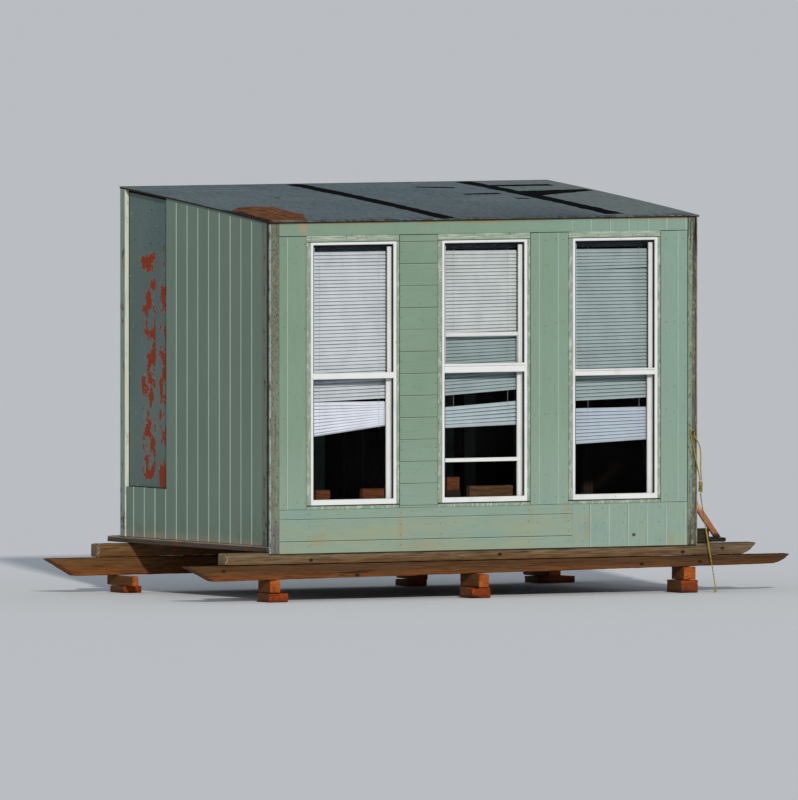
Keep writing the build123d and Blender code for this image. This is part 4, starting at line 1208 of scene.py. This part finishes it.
# Inside: studs, rails, plates and rafters of plain sawn lumber nailed together,
# and a floor of boards laid level across the joists. Their wood is near black,
# as dark old wood and as painted shade of the hut's inside.
def framing(at, along):
    fine = at.grain(*along, 5)
    return fine.ramp((0.3, (0.02, 0.013, 0.008)), (0.7, (0.055, 0.036, 0.022))), 0.85, fine


for name, along, parts in (
    ("upright_lumber", (130, 130, 6), ("front_studs", "rear_studs", "side_studs")),
    ("level_lumber", (6, 130, 130), ("wall_top_plates", "wall_rails", "floor_boards")),
    ("cross_lumber", (130, 6, 130), ("side_bottom_plates", "rafters")),
):
    lumber = finish(name, framing, along, relief=0.0015)
    for node in parts:
        wear(node, lumber)

# Roof: plywood sheets bent over the rafters under a painted cover. Their
# joints are daubed with tar, and a rotten offcut lies on the front corner.
COVER = 0.012
TAR_THICKNESS = 0.0022
FRAY = 0.02


def roof_paint(at):
    x, y, z = at.spot()
    middle = x.step(0.9, 1.5) * x.fall(2.2, 2.5) * y.fall(0.1, 0.8)
    streak = at.grain(26, 3, 3, 5).step(0.5, 0.75)
    foot = y.stir(at.grain(9, 9, 9), 0.3).fall(-0.02, 0.12) * at.grain(40, 14, 9).step(0.42, 0.55)
    return coats(
        at.grain(1.6, 2.6, 1).step(0.3, 0.7).tint((0.118, 0.156, 0.172), (0.15, 0.19, 0.203)),
        (middle * 0.42, (0.055, 0.07, 0.075)),
        (x.step(2.3, 2.6) * 0.65, (0.19, 0.218, 0.208)),
        (streak * 0.35, (0.062, 0.085, 0.095)),
        (at.grain(95, 15, 1, 3).step(0.52, 0.66) * 0.5, (0.04, 0.05, 0.054)),
        (at.grain(110, 17, 3, 3).step(0.52, 0.68) * 0.42, (0.26, 0.31, 0.29)),
        (foot * 0.7, (0.02, 0.02, 0.018)),
        # Painted shadow of the scrap board: near black along the cover's left edge beside it.
        (x.fall(0.012, 0.03) * y.fall(0.5, 0.62) * 0.9, (0.014, 0.01, 0.008)),
    ), 0.8, at.grain(90, 90, 90) - streak * 0.3


# The deck's edges are near black: dark ply, darkened further as painted shade under the cover's edge.
def deck_edge(at):
    fine = at.grain(30, 30, 300)
    return fine.ramp((0.35, (0.01, 0.009, 0.007)), (0.7, (0.055, 0.04, 0.026))), 0.9, fine


wear("roof_covering", finish("roof_cover", roof_paint, relief=0.0015, Specular_IOR_Level=0.05))
wear("roof_deck", finish("roof_ply", deck_edge, relief=0.001))

tar_tree, ins = open_tree(
    "tar_seam", Start="Vector", End="Vector", Half_Width="Float", End_Width="Float", Thickness="Float",
    Seed="Float",
)
line = ins.Start.node("GeometryNodeCurvePrimitiveLine", Start=ins.Start, End=ins.End)
line = line.node("GeometryNodeResampleCurve", Curve=line, Count=90)
spot = line.node("GeometryNodeInputPosition")
moving = {"noise_dimensions": "4D"}
jag = spot.node(
    "ShaderNodeTexNoise", moving, Vector=spot, W=ins.Seed, Scale=9.0, Detail=6.0, Roughness=0.7
)
section = line.node("GeometryNodeCurvePrimitiveCircle", Resolution=14, Radius=1.0)
reach = ins.Half_Width + (ins.End_Width - ins.Half_Width) * line.node("GeometryNodeSplineParameter")
line = line.node("GeometryNodeSetCurveRadius", Curve=line, Radius=reach * (jag * 1.2 + 0.4))
body = line.node("GeometryNodeCurveToMesh", Curve=line, Profile_Curve=section, Fill_Caps=True)
if "Scale" in body.socket.node.inputs:
    reach = line.node("GeometryNodeInputRadius")
    line.tree.links.new(reach.socket, body.socket.node.inputs["Scale"])
spot = body.node("GeometryNodeInputPosition")
x, y, z = spot.split()
fray = spot.node("ShaderNodeTexNoise", moving, Vector=spot, W=ins.Seed, Scale=45.0, Detail=4.0)
fray_y = Flow(fray.tree, fray.socket.node.outputs[1]).split()[1]
lump = (z - ins.Start.split()[2]) * ins.Thickness / ins.Half_Width
flat = spot.joined(x.stir(fray, FRAY), y.stir(fray_y, FRAY), roof_over(y - FRONT) + COVER + lump)
close_tree(body.node("GeometryNodeSetPosition", Geometry=body, Position=flat), ins)


def tar_paint(at):
    crust = at.grain(45, 45, 45, 5)
    return crust.ramp((0.35, (0.002, 0.002, 0.002)), (0.75, (0.006, 0.006, 0.006))), 0.9, crust


tar = finish("roof_tar", tar_paint, relief=0.002, Specular_IOR_Level=0.02)
for n, (x0, y0, x1, y1, half, end_half) in enumerate((
    (1.262, 0.015, 1.19, 1.8, 0.056, 0.062), (2.478, 0.1, 2.385, 1.8, 0.066, 0.058),
    (2.42, 1.13, 2.97, 1.27, 0.13, 0.045), (2.457, 1.557, 2.863, 1.561, 0.038, 0.045),
    (2.01, 1.137, 2.263, 1.151, 0.026, 0.03), (1.91, 1.555, 2.1355, 1.485, 0.024, 0.028),
    (2.235, 0.893, 2.32, 0.88, 0.02, 0.018), (0.665, 1.094, 0.673, 1.1, 0.016, 0.016),
)):
    z = roof_over(y0) + COVER
    seam = grow(
        f"tar_seam_{n + 1}", tar_tree, Start=hut(x0, y0, z), End=hut(x1, y1, z), Half_Width=half,
        End_Width=end_half, Thickness=TAR_THICKNESS, Seed=float(n), Material=tar,
    )
    place(seam, tar, "roof_sheet")


def rotten_board(at):
    x, y, z = at.spot()
    fine = at.grain(35, 9, 60, 6)
    # Painted shade: near black along the board's left edge, for its shaded under-edge.
    left_edge_shade = x.stir(at.grain(25, 25, 9), 0.07).fall(0.005, 0.032)
    return coats(
        fine.ramp((0.3, (0.04, 0.014, 0.005)), (0.5, (0.16, 0.056, 0.017)), (0.75, (0.27, 0.125, 0.05))),
        (y.fall(0.0, 0.035) * 0.45, (0.26, 0.2, 0.14)),
        (left_edge_shade * 0.9, (0.014, 0.009, 0.006)),
    ), 0.9, fine


wear("roof_scrap_board", finish("scrap_brown", rotten_board, relief=0.004))

# Loose pieces at the right end: a dark step board across the beams and a
# split salmon coloured plank that leans against the wall.
plank_low, plank_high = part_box("leaning_plank")


def plank_paint(at):
    x, y, z = at.split()
    fine = at.grain(12, 120, 12, 5)
    rise = (z.stir(at.grain(20, 20, 20), 0.04) - plank_low.z) / (plank_high.z - plank_low.z)
    return coats(
        fine.ramp((0.3, (0.34, 0.14, 0.08)), (0.55, (0.62, 0.32, 0.21)), (0.8, (0.74, 0.46, 0.34))),
        (rise.fall(0.5, 0.6) * 0.65, (0.28, 0.075, 0.035)),
        (at.grain(26, 26, 30).step(0.5, 0.62) * 0.45, (0.2, 0.065, 0.035)),
        (rise.fall(0.04, 0.14) * 0.9, (0.02, 0.013, 0.009)),
    ), 0.85, fine


salmon = finish("leaning_plank_wood", plank_paint, relief=0.002)
weathered("leaning_plank", salmon, "plank_wood", (20, 60, 20), 0.004, 0.002)
weathered("step_board", dark_sill, "dark_timber", (75, 9, 75), 0.007, 0.002)
